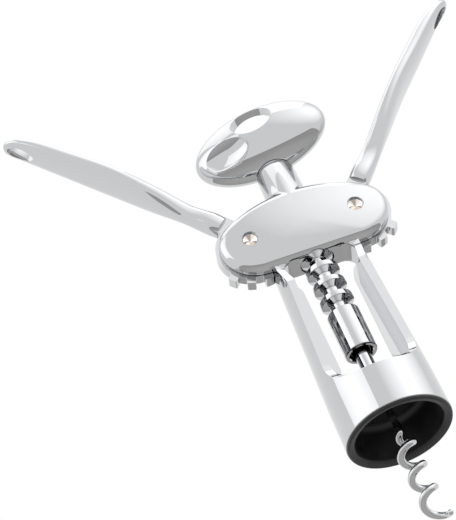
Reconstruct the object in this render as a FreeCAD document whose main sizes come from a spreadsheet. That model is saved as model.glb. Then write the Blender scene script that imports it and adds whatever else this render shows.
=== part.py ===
"""Wing corkscrew: cast frame with a bell foot, two geared levers and a round rack with its worm.

Frame of the part: millimetres, +Z up, origin in the middle of the bell's bottom rim.  The head's
broad front face looks to -Y and the levers lie in the XZ plane.
"""
import FreeCAD, Part
import math
import os

os.makedirs("parts", exist_ok=True)

V = FreeCAD.Vector
doc = FreeCAD.newDocument("WingCorkscrew")
sheet = doc.addObject("Spreadsheet::Sheet", "Sizes")

# name, size in mm (angles in degrees), what it is
SIZES = [
    # bell foot and its liner
    ("mouth_radius", 15.3, "bore that takes the neck of the bottle"),
    ("mouth_depth", 14.4, "depth of that bore"),
    ("liner_wall", 1.6, "wall of the liner"),
    ("liner_top", 2.0, "thickness of the liner's top"),
    ("liner_fit", 0.05, "clearance between liner and ring"),
    ("liner_edge", 0.5, "bevel of the liner's lip"),
    ("liner_lip_step", 0.2, "how far the liner's lip stays inside the rim"),
    ("ring_wall", 1.55, "wall of the closed ring"),
    ("ring_edge", 0.4, "bevel of the chrome edge"),
    ("bell_taper", 0.3, "how much the ring narrows to its top"),
    ("bell_lip_height", 1.0, "where the chrome starts above the liner's lip"),
    ("shelf_step", 0.5, "height of the ring's top above the liner"),
    # legs
    ("leg_taper", 2.7, "how much the legs lean in from the ring to the head"),
    ("leg_wall", 2.1, "wall of the curved legs"),
    ("leg_half_width", 8.3, "half width of a leg's strip"),
    ("leg_neck_gap", 1.5, "gap between the head and the strip's narrow end"),
    ("leg_neck_rise", 8.0, "height over which the strip narrows"),
    ("leg_overlap", 5.5, "how far the legs reach into the head"),
    ("window_radius", 12.5, "sweep between a strip's edge and the ring's top"),
    ("rib_thickness", 2.0, "thickness of the flat rib inside each leg"),
    ("rib_gap", 3.25, "gap between the rib's inner edge and the sleeve"),
    ("rib_lift", 11.1, "height of the rib's lower end above the ring"),
    ("rib_drop", 5.5, "how far the rib's shoulder meets the leg below the head"),
    ("rib_shoulder", 6.0, "radius of the rib's upper corner"),
    ("rib_corner", 2.0, "radius of the rib's lower corner"),
    # head
    ("head_overhang", 10.9, "how far the head reaches beyond the pivots"),
    ("head_end_radius", 9.5, "upper radius of the head's ends"),
    ("head_corner_radius", 12.8, "lower radius of the head's ends"),
    ("head_top_radius", 49.0, "radius of the arched top edge"),
    ("plate_thickness", 4.9, "thickness of the plates beside the gears"),
    ("head_edge_round", 2.0, "rounding of the front plate's edge"),
    ("back_end_radius", 8.5, "radius of the back plate's ends"),
    ("back_edge_round", 1.2, "rounding of the back plate's edge"),
    ("yoke_wall", 2.8, "wall of the block between the legs beside the gears"),
    ("yoke_inset", 1.3, "how far that block stays inside the legs"),
    ("arch_gap", 0.4, "step between the legs' inside and the arch"),
    ("arch_corner", 4.5, "corner radius under the block"),
    ("neck_wall", 1.15, "wall of the neck in the head"),
    ("neck_taper", 0.45, "how much the neck narrows to its top"),
    ("neck_edge", 0.5, "bevel of the neck's top"),
    ("neck_root_rise", 10.7, "height above the pivots where the neck leaves the head"),
    ("neck_length", 17.2, "length of the neck above that"),
    # pivots
    ("pivot_height", 87.3, "height of the pivots"),
    ("pin_radius", 2.3, "radius of a pivot pin"),
    ("pin_edge", 0.2, "bevel of a pin's face"),
    ("pin_recess", 0.9, "depth of a pin's face below the front plate"),
    ("pin_back_recess", 0.3, "depth of a pin's end below the back plate"),
    ("pin_rim", 0.55, "flat rim about the cone in a pin's face"),
    ("pin_dimple_depth", 0.9, "depth of that cone"),
    ("pin_seat", 0.6, "width of the sunk ring about a pin"),
    ("pin_fit", 0.02, "clearance of a pin in the plates"),
    ("pin_play", 0.05, "clearance of a pin in its lever"),
    # gears
    ("gear_teeth", 14, "teeth on the full circle"),
    ("rack_pitch", 6.5, "distance from ring to ring on the rack"),
    ("gear_tip", 0.32, "height of a tooth above the pitch circle"),
    ("gear_root", 2.08, "depth of a tooth below the pitch circle"),
    ("gear_hub_step", 0.4, "how much the hub is smaller where it has no teeth"),
    ("gear_thickness", 4.0, "thickness of the gear"),
    ("pressure_angle", 20.0, "slope of the teeth and rings"),
    ("mesh_backlash", 0.12, "play between a tooth and its gap"),
    ("slot_play", 0.3, "side play of a gear in the head"),
    ("slot_reach", 0.4, "gap between the teeth and the slot"),
    # lever blade
    ("lever_angle", 40.6, "angle of a lever from the vertical"),
    ("lever_length", 98.9, "from the pivot to the tip"),
    ("blade_gap", 0.6, "gap between the head's lower corner and the blade's start"),
    ("web_start", 3.0, "where the web starts beside the pivot"),
    ("web_overlap", 1.2, "how far the web runs into the blade"),
    ("eye_inset", 6.7, "distance of the eye's middle from the tip"),
    ("eye_offset", 2.8, "distance of the eye's middle from the line to the pivot"),
    ("eye_half_length", 5.0, "half length of the eye"),
    ("eye_half_width", 2.75, "half width of the eye"),
    # rack
    ("rack_wall", 1.0, "wall of the rack between the rings"),
    ("ring_depth", 2.65, "depth of the grooves between the rings"),
    ("ring_tip", 1.383, "height of a ring above the pitch line"),
    ("ring_count", 7, "rings on the rack"),
    ("rings_below", 5, "rings below the line of the pivots"),
    ("ring_rise", 1.6, "height of the next ring above that line"),
    ("rack_edge", 0.35, "bevel of the rack's ends"),
    ("sleeve_step", 0.15, "how much the sleeve is smaller than the rings"),
    ("sleeve_length", 15.9, "length of the sleeve below the rings"),
    ("sleeve_pocket_gap", 1.4, "gap about the shank in the sleeve's end"),
    ("sleeve_pocket_depth", 6.0, "depth of that pocket"),
    ("rack_proud", 0.1, "height of the rack's end above the neck"),
    ("bore_clearance", 0.25, "play of the rack in the neck's bore"),
    # spindle and worm
    ("spindle_radius", 2.1, "radius of the spindle in the rack"),
    ("spindle_play", 0.05, "play of the spindle in the rack"),
    ("spindle_edge", 0.4, "bevel of the spindle's end"),
    ("spindle_reach", 9.0, "length of the spindle inside the handle"),
    ("shank_step", 0.6, "how much the shank is thicker than the spindle"),
    ("shank_bottom", 12.0, "lower end of the shank"),
    ("shank_nose", 0.9, "how much the shank narrows at its end"),
    ("shank_nose_height", 1.6, "height over which it narrows"),
    ("shank_gap", 0.1, "end play between shank and rack"),
    ("wire_radius", 1.3, "radius of the worm's wire"),
    ("worm_radius", 4.27, "outer radius of the worm"),
    ("worm_gap", 0.5, "gap between the worm and the hole in the liner"),
    ("worm_pitch", 9.21, "rise of the worm in one turn"),
    ("worm_straight", 9.5, "length of the straight wire below the shank"),
    ("worm_run", 6.7, "height over which the wire swings out to its full radius"),
    ("worm_length", 27.7, "length of the worm below that, before its end is drawn out"),
    ("worm_phase", -12.1, "angle of the worm's point about the axis"),
    ("worm_shift", -0.5, "how far the coil's middle lies beside the axis, along X"),
    ("worm_set_back", 0.3, "how far it lies behind the axis, along Y"),
    ("worm_draw", 1.6, "how far the end of the wire is drawn down out of its turn"),
    ("worm_flare", 0.9, "how far the end of the wire is bent outwards"),
    ("worm_draw_run", 6.0, "height of the coil over which its end is drawn out"),
    ("worm_tip_step", 0.3, "how much the wire is thinner at the point"),
    ("worm_taper", 3.0, "height over which the wire tapers to its point"),
    ("worm_lap", 0.35, "how far each part of the wire reaches into the next"),
    ("worm_skin", 0.03, "step between the parts of the wire, so that each covers the next"),
    # handle
    ("handle_half_length", 24.06, "half length of the handle"),
    ("handle_half_height", 13.62, "half height of the handle"),
    ("handle_half_depth", 9.0, "half depth of the handle"),
    ("handle_gap", 0.35, "end play between handle and rack"),
    ("handle_turn", -11.7, "angle of the handle about the axis at rest"),
    ("window_half_length", 7.6, "half length of the hole through the handle"),
    ("window_half_height", 5.65, "half height of that hole"),
    ("window_across", 0.2, "place of the hole along the handle"),
    ("window_edge", 2.77, "wall above the hole"),
    ("scoop_radius", 12.2, "radius of the hollow in the handle's back"),
    ("scoop_reach", 1.7, "how far in front of the handle's middle the hollow reaches"),
    ("scoop_lift", 4.3, "height of the hollow's middle above the middle of the hole"),
    ("dish_half_length", 9.2, "half length of the dish in the front"),
    ("dish_half_height", 6.0, "half height of the dish"),
    ("dish_edge", 2.66, "wall between the dish and the handle's end"),
    ("dish_above", -3.4, "place of the dish above the handle's middle"),
    ("dish_depth", 2.4, "depth of the dish"),
]

# stations of a lever's blade: share of its length, width, thickness, offset of the middle from the
# line to the pivot
STATIONS = [
    ("root", 0.00, 6.6, 6.9, 3.9),
    ("heel", 0.04, 7.4, 7.4, 4.0),
    ("waist", 0.15, 5.9, 6.5, 3.8),
    ("shoulder", 0.31, 11.5, 6.1, 4.3),
    ("belly", 0.50, 14.6, 5.5, 4.7),
    ("back", 0.71, 12.8, 5.8, 4.2),
    ("brow", 0.87, 11.2, 5.2, 3.5),
    ("nose", 0.96, 8.2, 3.6, 2.3),
    ("tip", 1.00, 2.6, 1.4, 1.2),
]
for station, share, width, thickness, offset in STATIONS:
    SIZES.append(("blade_" + station + "_width", width, "width of the blade at its " + station))
    SIZES.append(("blade_" + station + "_thickness", thickness, "thickness of the blade there"))
    SIZES.append(("blade_" + station + "_offset", offset, "how far its middle lies off that line there"))


class Size:
    """A length that knows its value and the expression that drives it."""

    def __init__(self, value, text):
        self.value = value
        self.text = text

    def joined(self, other, sign, value):
        text = other.text if isinstance(other, Size) else repr(other)
        return Size(value, "(" + self.text + " " + sign + " " + text + ")")

    def __add__(self, other):
        return self.joined(other, "+", self.value + number(other))

    def __sub__(self, other):
        return self.joined(other, "-", self.value - number(other))

    def __mul__(self, other):
        return self.joined(other, "*", self.value * number(other))

    def __truediv__(self, other):
        return self.joined(other, "/", self.value / number(other))

    def __neg__(self):
        return Size(-self.value, "(0 - " + self.text + ")")


def number(size):
    """The plain value of a Size or of a number."""
    return size.value if isinstance(size, Size) else size


def root(size):
    """Square root of a Size."""
    return Size(math.sqrt(size.value), "sqrt(" + size.text + ")")


def write_sheet():
    """Fill the spreadsheet and give back its sizes by name."""
    found = {}
    for row, (name, value, meaning) in enumerate(SIZES, start=1):
        sheet.set("A" + str(row), name)
        sheet.set("B" + str(row), str(value))
        sheet.set("C" + str(row), meaning)
        sheet.setAlias("B" + str(row), name)
        found[name] = Size(float(value), "Sizes." + name)
    doc.recompute()
    return found


S = write_sheet()


def val(name):
    """The number in the cell with this alias."""
    return float(sheet.get(name))


def bind(thing, prop, size):
    """Drive a property with the expression of a Size."""
    if isinstance(size, Size):
        thing.setExpression(prop, size.text)
    else:
        setattr(thing, prop, size)


def plane(body, role):
    """One of a body's own origin planes or axes."""
    for feature in body.Origin.OriginFeatures:
        if feature.Role == role:
            return feature
    raise ValueError(role)


def new_body(name, place=None):
    """A body whose label names its file."""
    body = doc.addObject("PartDesign::Body", name)
    body.Label = name
    if place is not None:
        body.Placement = place
    return body


def new_sketch(body, role, name, offset=None):
    """A sketch on one of the body's origin planes."""
    sketch = body.newObject("Sketcher::SketchObject", name)
    sketch.AttachmentSupport = (plane(body, role), [""])
    sketch.MapMode = "FlatFace"
    if offset is not None:
        sketch.AttachmentOffset = offset
    return sketch


def pin_point(sketch, geo, end, point):
    """Fix an end of a sketch element at a driven point."""
    import Sketcher
    for kind, axis, size in (("DistanceX", -2, point[0]), ("DistanceY", -1, point[1])):
        if number(size) == 0.0:
            sketch.addConstraint(Sketcher.Constraint("PointOnObject", geo, end, axis))
            continue
        index = sketch.addConstraint(Sketcher.Constraint(kind, -1, 1, geo, end, number(size)))
        if isinstance(size, Size):
            sketch.setExpression("Constraints[" + str(index) + "]", size.text)


def outline(sketch, points, arcs=None):
    """Draw a closed outline.

    points are driven corners in order; arcs[i] = (bulge point, radius) turns the side that
    starts at corner i into an arc through about that point.
    """
    import Sketcher
    arcs = arcs or {}
    first = None
    last = None
    for i, start in enumerate(points):
        stop = points[(i + 1) % len(points)]
        a = V(number(start[0]), number(start[1]), 0)
        b = V(number(stop[0]), number(stop[1]), 0)
        if i in arcs:
            curve = Part.Arc(a, V(arcs[i][0][0], arcs[i][0][1], 0), b)
            geo = sketch.addGeometry(curve, False)
            begins = 1 if sketch.getPoint(geo, 1).distanceToPoint(a) < 1e-6 else 2
        else:
            geo = sketch.addGeometry(Part.LineSegment(a, b), False)
            begins = 1
        pin_point(sketch, geo, begins, start)
        ends = 3 - begins
        if last is not None:
            sketch.addConstraint(Sketcher.Constraint("Coincident", last[0], last[1], geo, begins))
        if i in arcs:
            index = sketch.addConstraint(Sketcher.Constraint("Radius", geo, number(arcs[i][1])))
            sketch.setExpression("Constraints[" + str(index) + "]", arcs[i][1].text)
        if first is None:
            first = (geo, begins)
        last = (geo, ends)
    sketch.addConstraint(Sketcher.Constraint("Coincident", last[0], last[1], first[0], first[1]))
    return sketch


def circle(sketch, centre, radius):
    """A driven circle."""
    import Sketcher
    at = V(number(centre[0]), number(centre[1]), 0)
    geo = sketch.addGeometry(Part.Circle(at, V(0, 0, 1), number(radius)), False)
    pin_point(sketch, geo, 3, centre)
    index = sketch.addConstraint(Sketcher.Constraint("Radius", geo, number(radius)))
    if isinstance(radius, Size):
        sketch.setExpression("Constraints[" + str(index) + "]", radius.text)


def turned(body, name, points, role="XZ_Plane", axis="V_Axis", arcs=None):
    """Revolve a driven outline about an axis of its sketch."""
    sketch = outline(new_sketch(body, role, name + "_profile"), points, arcs)
    solid = body.newObject("PartDesign::Revolution", name)
    solid.Profile = sketch
    solid.ReferenceAxis = (sketch, [axis])
    solid.Angle = 360.0
    return solid


def padded(body, name, sketch, length, midplane=False, reverse=False):
    """Extrude a sketch."""
    solid = body.newObject("PartDesign::Pad", name)
    solid.Profile = sketch
    bind(solid, "Length", length)
    solid.Midplane = midplane
    solid.Reversed = reverse
    return solid


def pocketed(body, name, sketch, length, midplane=True, reverse=False):
    """Cut a sketch out, and make sure that it took material away."""
    doc.recompute()
    before = body.Shape.Volume
    cut = body.newObject("PartDesign::Pocket", name)
    cut.Profile = sketch
    bind(cut, "Length", length)
    cut.Midplane = midplane
    cut.Reversed = reverse
    doc.recompute()
    if body.Shape.Volume > before - 0.01:
        raise ValueError(name + " cuts nothing")
    return cut


def rounded(body, name, base, edges, radius):
    """Fillet some edges of the body."""
    fillet = body.newObject("PartDesign::Fillet", name)
    fillet.Base = (base, edges)
    bind(fillet, "Radius", radius)
    return fillet


def edge_names(shape, test):
    """Names of the edges whose points all pass the test."""
    names = []
    for i, edge in enumerate(shape.Edges, start=1):
        points = edge.discretize(7)
        if all(test(p) for p in points):
            names.append("Edge" + str(i))
    return names


# ------------------------------------------------------------------ shared derived sizes
# gears and rack
pitch_radius = S["rack_pitch"] * S["gear_teeth"] / (2.0 * math.pi)
tip_radius = pitch_radius + S["gear_tip"]
root_radius = pitch_radius - S["gear_root"]
hub_radius = root_radius - S["gear_hub_step"]
slot_radius = tip_radius + S["slot_reach"]
slot_width = S["gear_thickness"] + S["slot_play"] * 2.0
spindle_bore = S["spindle_radius"] + S["spindle_play"]
rack_root_radius = spindle_bore + S["rack_wall"]
ring_radius = rack_root_radius + S["ring_depth"]
rack_pitch_radius = ring_radius - S["ring_tip"]
pivot_offset = pitch_radius + rack_pitch_radius
first_ring = S["pivot_height"] + S["ring_rise"] - S["rack_pitch"] * S["rings_below"]
sleeve_end = first_ring - S["rack_pitch"]
sleeve_bottom = sleeve_end - S["sleeve_length"]
sleeve_radius = ring_radius - S["sleeve_step"]
shank_radius = S["spindle_radius"] + S["shank_step"]
pocket_radius = shank_radius + S["sleeve_pocket_gap"]
pocket_floor = sleeve_bottom + S["sleeve_pocket_depth"]

# bell and liner
liner_radius = S["mouth_radius"] + S["liner_wall"]
liner_height = S["mouth_depth"] + S["liner_top"]
worm_off_axis = root(S["worm_shift"] * S["worm_shift"] + S["worm_set_back"] * S["worm_set_back"])
worm_reach = S["worm_radius"] + worm_off_axis
liner_hole_radius = worm_reach + S["worm_gap"]
ring_inner = liner_radius + S["liner_fit"]
rim_radius = ring_inner + S["ring_wall"]
lip_radius = rim_radius - S["liner_lip_step"]
bell_radius = rim_radius - S["bell_taper"]
bell_height = liner_height + S["shelf_step"]

# head, legs and neck
head_bottom = S["pivot_height"] - S["head_corner_radius"]
head_half_width = pivot_offset + S["head_overhang"]
head_half_depth = slot_width * 0.5 + S["plate_thickness"]
leg_top_radius = bell_radius - S["leg_taper"]
leg_top = head_bottom + S["leg_overlap"]
leg_slope = (bell_radius - leg_top_radius) / (leg_top - bell_height)
strip_end = head_bottom - S["leg_neck_gap"]
strip_start = strip_end - S["leg_neck_rise"]
rib_inner = sleeve_radius + S["rib_gap"]
rib_bottom = bell_height + S["rib_lift"]
rib_top = head_bottom - S["rib_drop"]
yoke_half_depth = slot_width * 0.5 + S["yoke_wall"]
yoke_half_width = leg_top_radius - S["yoke_inset"]
arch_half_width = leg_top_radius - S["leg_wall"] - S["arch_gap"]
bore_radius = ring_radius + S["bore_clearance"]
neck_radius = bore_radius + S["neck_wall"]
neck_top_radius = neck_radius - S["neck_taper"]
neck_start = S["pivot_height"] + S["neck_root_rise"]
neck_top = neck_start + S["neck_length"]

# lever blade, worm and handle
blade_start = S["head_corner_radius"] + S["blade_gap"]
blade_length = S["lever_length"] - blade_start
rack_top = neck_top + S["rack_proud"]
worm_bend = S["shank_bottom"] - S["worm_straight"]
worm_top = worm_bend - S["worm_run"]
worm_tip = worm_top - S["worm_length"]
handle_bottom = rack_top + S["handle_gap"]
handle_middle = handle_bottom + S["handle_half_height"]


# ------------------------------------------------------------------ frame casting
def make_frame():
    """Bell ring, two T-section legs, head with gear slots, and neck, in one casting."""
    body = new_body("frame_casting")
    rim = rim_radius
    edge = S["ring_edge"]
    shell = turned(body, "bell_and_legs", [
        (ring_inner, S["bell_lip_height"]),
        (rim - edge, S["bell_lip_height"]),
        (rim, S["bell_lip_height"] + edge),
        (bell_radius, bell_height),
        (leg_top_radius, leg_top),
        (leg_top_radius - S["leg_wall"], leg_top),
        (bell_radius - S["leg_wall"], liner_height),
        (ring_inner, liner_height),
    ])
    doc.recompute()

    # everything beside the two strips is cut away, seen along X
    far = rim * 1.3
    high = leg_top + S["leg_overlap"]
    sides = new_sketch(body, "YZ_Plane", "leg_sides")
    for side in (1.0, -1.0):
        strip = S["leg_half_width"] * side
        corner = (S["leg_half_width"] + S["window_radius"]) * side
        narrow = yoke_half_depth * side
        r = val("window_radius")
        near = (val("leg_half_width") + r * (1 - math.cos(math.radians(45)))) * side
        low = bell_height.value + r * (1 - math.sin(math.radians(45)))
        outline(sides, [
            (strip, bell_height + S["window_radius"]),
            (corner, bell_height),
            (far * side, bell_height),
            (far * side, high),
            (narrow, high),
            (narrow, strip_end),
            (strip, strip_start),
        ], {0: ((near, low), S["window_radius"])})
    pocketed(body, "leg_trim", sides, rim * 4.0)

    # flat ribs inside the legs
    ribs = new_sketch(body, "XZ_Plane", "rib_outlines")
    for side in (1.0, -1.0):
        inner = rib_inner * side
        outer_low = (bell_radius - leg_slope * (rib_bottom - bell_height) - S["leg_wall"] * 0.5) * side
        outer_top = (bell_radius - leg_slope * (rib_top - bell_height) - S["leg_wall"] * 0.5) * side
        c = val("rib_corner")
        b = val("rib_shoulder")
        diag = 1 - math.cos(math.radians(45))
        outline(ribs, [
            (outer_low, rib_bottom),
            ((rib_inner + S["rib_corner"]) * side, rib_bottom),
            (inner, rib_bottom + S["rib_corner"]),
            (inner, rib_top - S["rib_shoulder"]),
            (inner + S["rib_shoulder"] * (side * 0.75), rib_top),
            (outer_top, rib_top + S["rib_corner"] * 0.1),
        ], {1: (((rib_inner.value + c * diag) * side, rib_bottom.value + c * diag), S["rib_corner"]),
            3: (((rib_inner.value + 0.2 * b) * side, rib_top.value - 0.38 * b), S["rib_shoulder"])})
    padded(body, "ribs", ribs, S["rib_thickness"], midplane=True)

    # block that joins the legs under the head
    yoke = new_sketch(body, "XZ_Plane", "yoke_outline")
    half = yoke_half_width
    spring = head_bottom - S["arch_corner"]
    inner = arch_half_width
    crown = inner - S["arch_corner"]
    k = val("arch_corner") * (1 - math.cos(math.radians(45)))
    ax = arch_half_width.value
    az = head_bottom.value
    outline(yoke, [
        (-half, S["pivot_height"]), (-half, spring), (-inner, spring), (-crown, head_bottom),
        (crown, head_bottom), (inner, spring), (half, spring), (half, S["pivot_height"]),
    ], {2: ((-ax + k, az - k), S["arch_corner"]), 4: ((ax - k, az - k), S["arch_corner"])})
    padded(body, "yoke", yoke, yoke_half_depth * 2.0, midplane=True)

    # front plate and the middle of the head
    front = padded(body, "front_plate", head_outline(body, "front_outline"),
                   head_half_depth + slot_width * 0.5)
    near = -slot_width * 0.5
    front.Profile[0].AttachmentOffset = FreeCAD.Placement(V(0, 0, near.value), FreeCAD.Rotation())
    front.Profile[0].setExpression("AttachmentOffset.Base.z", near.text)
    doc.recompute()
    face = -head_half_depth.value
    names = edge_names(front.Shape, lambda p: abs(p.y - face) < 1e-4)
    front = rounded(body, "front_edge", front, names, S["head_edge_round"])
    doc.recompute()

    # back plate
    back_sketch = back_outline(body, "back_outline")
    back = padded(body, "back_plate", back_sketch, head_half_depth, reverse=True)
    doc.recompute()
    names = edge_names(back.Shape, lambda p: abs(p.y + face) < 1e-4)
    rounded(body, "back_edge", back, names, S["back_edge_round"])
    doc.recompute()

    # neck and bore
    turned(body, "neck", [
        (0.0, S["pivot_height"]),
        (neck_radius, S["pivot_height"]),
        (neck_radius, neck_start),
        (neck_top_radius, neck_top - S["neck_edge"]),
        (neck_top_radius - S["neck_edge"], neck_top),
        (0.0, neck_top),
    ])
    bore = new_sketch(body, "XY_Plane", "bore_circle")
    circle(bore, (0.0, 0.0), bore_radius)
    bore.setExpression("AttachmentOffset.Base.z", strip_start.text)
    pocketed(body, "bore", bore, neck_top, midplane=False, reverse=True)

    # slots for the gears
    slots = new_sketch(body, "XZ_Plane", "slot_circles")
    pins = new_sketch(body, "XZ_Plane", "pin_circles")
    seats = new_sketch(body, "XZ_Plane", "seat_circles")
    seats.setExpression("AttachmentOffset.Base.z", head_half_depth.text)
    for side in (1.0, -1.0):
        at = (pivot_offset * side, S["pivot_height"])
        circle(slots, at, slot_radius)
        circle(pins, at, S["pin_radius"] + S["pin_fit"])
        circle(seats, at, S["pin_radius"] + S["pin_seat"])
    pocketed(body, "gear_slots", slots, slot_width)
    pocketed(body, "pin_holes", pins, head_half_depth * 4.0)
    pocketed(body, "pin_seats", seats, S["pin_recess"] * 2.0)
    return body


def head_outline(body, name):
    """Front plate: arched top, round ends, larger round lower corners, flat bottom."""
    sketch = new_sketch(body, "XZ_Plane", name)
    end_x = head_half_width - S["head_end_radius"]
    corner_x = head_half_width - S["head_corner_radius"]
    reach = S["head_top_radius"] - S["head_end_radius"]
    drop = root(reach * reach - end_x * end_x)
    join_x = end_x + S["head_end_radius"] * end_x / reach
    join_z = S["pivot_height"] + S["head_end_radius"] * drop / reach
    top = S["pivot_height"].value - drop.value + val("head_top_radius")
    diag = math.cos(math.radians(45))
    cx = corner_x.value + val("head_corner_radius") * diag
    cz = val("pivot_height") - val("head_corner_radius") * diag
    ex = end_x.value + val("head_end_radius") * math.cos(math.radians(25))
    ez = val("pivot_height") + val("head_end_radius") * math.sin(math.radians(25))
    return outline(sketch, [
        (corner_x, head_bottom), (head_half_width, S["pivot_height"]), (join_x, join_z),
        (-join_x, join_z), (-head_half_width, S["pivot_height"]), (-corner_x, head_bottom),
    ], {0: ((cx, cz), S["head_corner_radius"]), 1: ((ex, ez), S["head_end_radius"]),
        2: ((0.0, top), S["head_top_radius"]), 3: ((-ex, ez), S["head_end_radius"]),
        4: ((-cx, cz), S["head_corner_radius"])})


def back_outline(body, name):
    """Back plate: ends round about the pins, arched top, raised bottom."""
    sketch = new_sketch(body, "XZ_Plane", name)
    r = S["back_end_radius"]
    reach = S["head_top_radius"] - r
    drop = root(reach * reach - pivot_offset * pivot_offset)
    join_x = pivot_offset + r * pivot_offset / reach
    join_z = S["pivot_height"] + r * drop / reach
    top = val("pivot_height") - drop.value + val("head_top_radius")
    low = S["pivot_height"] - r
    ex = pivot_offset.value + r.value
    return outline(sketch, [
        (pivot_offset, low), (join_x, join_z), (-join_x, join_z), (-pivot_offset, low),
    ], {0: ((ex, val("pivot_height")), r), 1: ((0.0, top), S["head_top_radius"]),
        2: ((-ex, val("pivot_height")), r)})


# ------------------------------------------------------------------ liner
def make_liner():
    """Moulded cup in the bell, with the lip that rests on the bottle."""
    body = new_body("bell_liner")
    top = liner_height
    lip = S["liner_edge"]
    turned(body, "liner", [
        (S["mouth_radius"] + lip, 0.0),
        (lip_radius - lip, 0.0),
        (lip_radius, lip),
        (lip_radius, S["bell_lip_height"]),
        (liner_radius, S["bell_lip_height"]),
        (liner_radius, top),
        (liner_hole_radius, top),
        (liner_hole_radius, S["mouth_depth"]),
        (S["mouth_radius"], S["mouth_depth"]),
        (S["mouth_radius"], lip),
    ])
    return body


# ------------------------------------------------------------------ levers
def involute(base, radius):
    """Polar angle of an involute where it reaches this radius."""
    grown = math.sqrt(max(radius * radius / (base * base) - 1.0, 0.0))
    return grown - math.atan(grown)


def gear_points(side):
    """Corners of the gear sector about its pivot, as lists of points per curve."""
    teeth = int(val("gear_teeth"))
    step = 2 * math.pi / teeth
    pitch = pitch_radius.value
    base = pitch * math.cos(math.radians(val("pressure_angle")))
    half = (math.pi / teeth - val("mesh_backlash") / pitch) / 2 + involute(base, pitch)
    low = max(root_radius.value, base)
    phase = (val("rack_pitch") / 2 - val("ring_rise")) / pitch

    def at(radius, angle):
        return V(-side * radius * math.cos(angle), -radius * math.sin(angle), 0)

    curves = []
    tooth_count = 7
    for k in range(-1, tooth_count - 1):
        middle = phase + step * k
        up = []
        for i in range(5):
            radius = low + (tip_radius.value - low) * i / 4
            up.append((radius, half - involute(base, radius)))
        rise = [at(root_radius.value, middle - up[0][1])] + [at(r, middle - a) for r, a in up]
        fall = [at(r, middle + a) for r, a in reversed(up)] + [at(root_radius.value, middle + up[0][1])]
        curves.append(("rise", rise))
        curves.append(("tip", [rise[-1], at(tip_radius.value, middle), fall[0]]))
        curves.append(("fall", fall))
        if k < tooth_count - 2:
            nxt = phase + step * (k + 1) - up[0][1]
            here = middle + up[0][1]
            curves.append(("root", [at(root_radius.value, here),
                                    at(root_radius.value, (here + nxt) / 2),
                                    at(root_radius.value, nxt)]))
    last = phase + step * (tooth_count - 2) + up[0][1]
    first = phase - step - up[0][1] + 2 * math.pi
    hub = hub_radius.value
    curves.append(("line", [at(root_radius.value, last), at(hub, last + 0.05)]))
    curves.append(("root", [at(hub, last + 0.05), at(hub, (last + first) / 2), at(hub, first - 0.05)]))
    curves.append(("line", [at(hub, first - 0.05), at(root_radius.value, first)]))
    return curves


def draw_curves(sketch, curves):
    """Add the curves of a closed outline to a sketch, end to end."""
    for kind, points in curves:
        if kind in ("tip", "root"):
            sketch.addGeometry(Part.Arc(points[0], points[1], points[2]), False)
        elif kind in ("rise", "fall") and root_radius.value < points[0].Length - 1e-3:
            spline = Part.BSplineCurve()
            spline.interpolate(points)
            sketch.addGeometry(spline, False)
        else:
            for a, b in zip(points[:-1], points[1:]):
                if a.distanceToPoint(b) > 1e-5:
                    sketch.addGeometry(Part.LineSegment(a, b), False)


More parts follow.
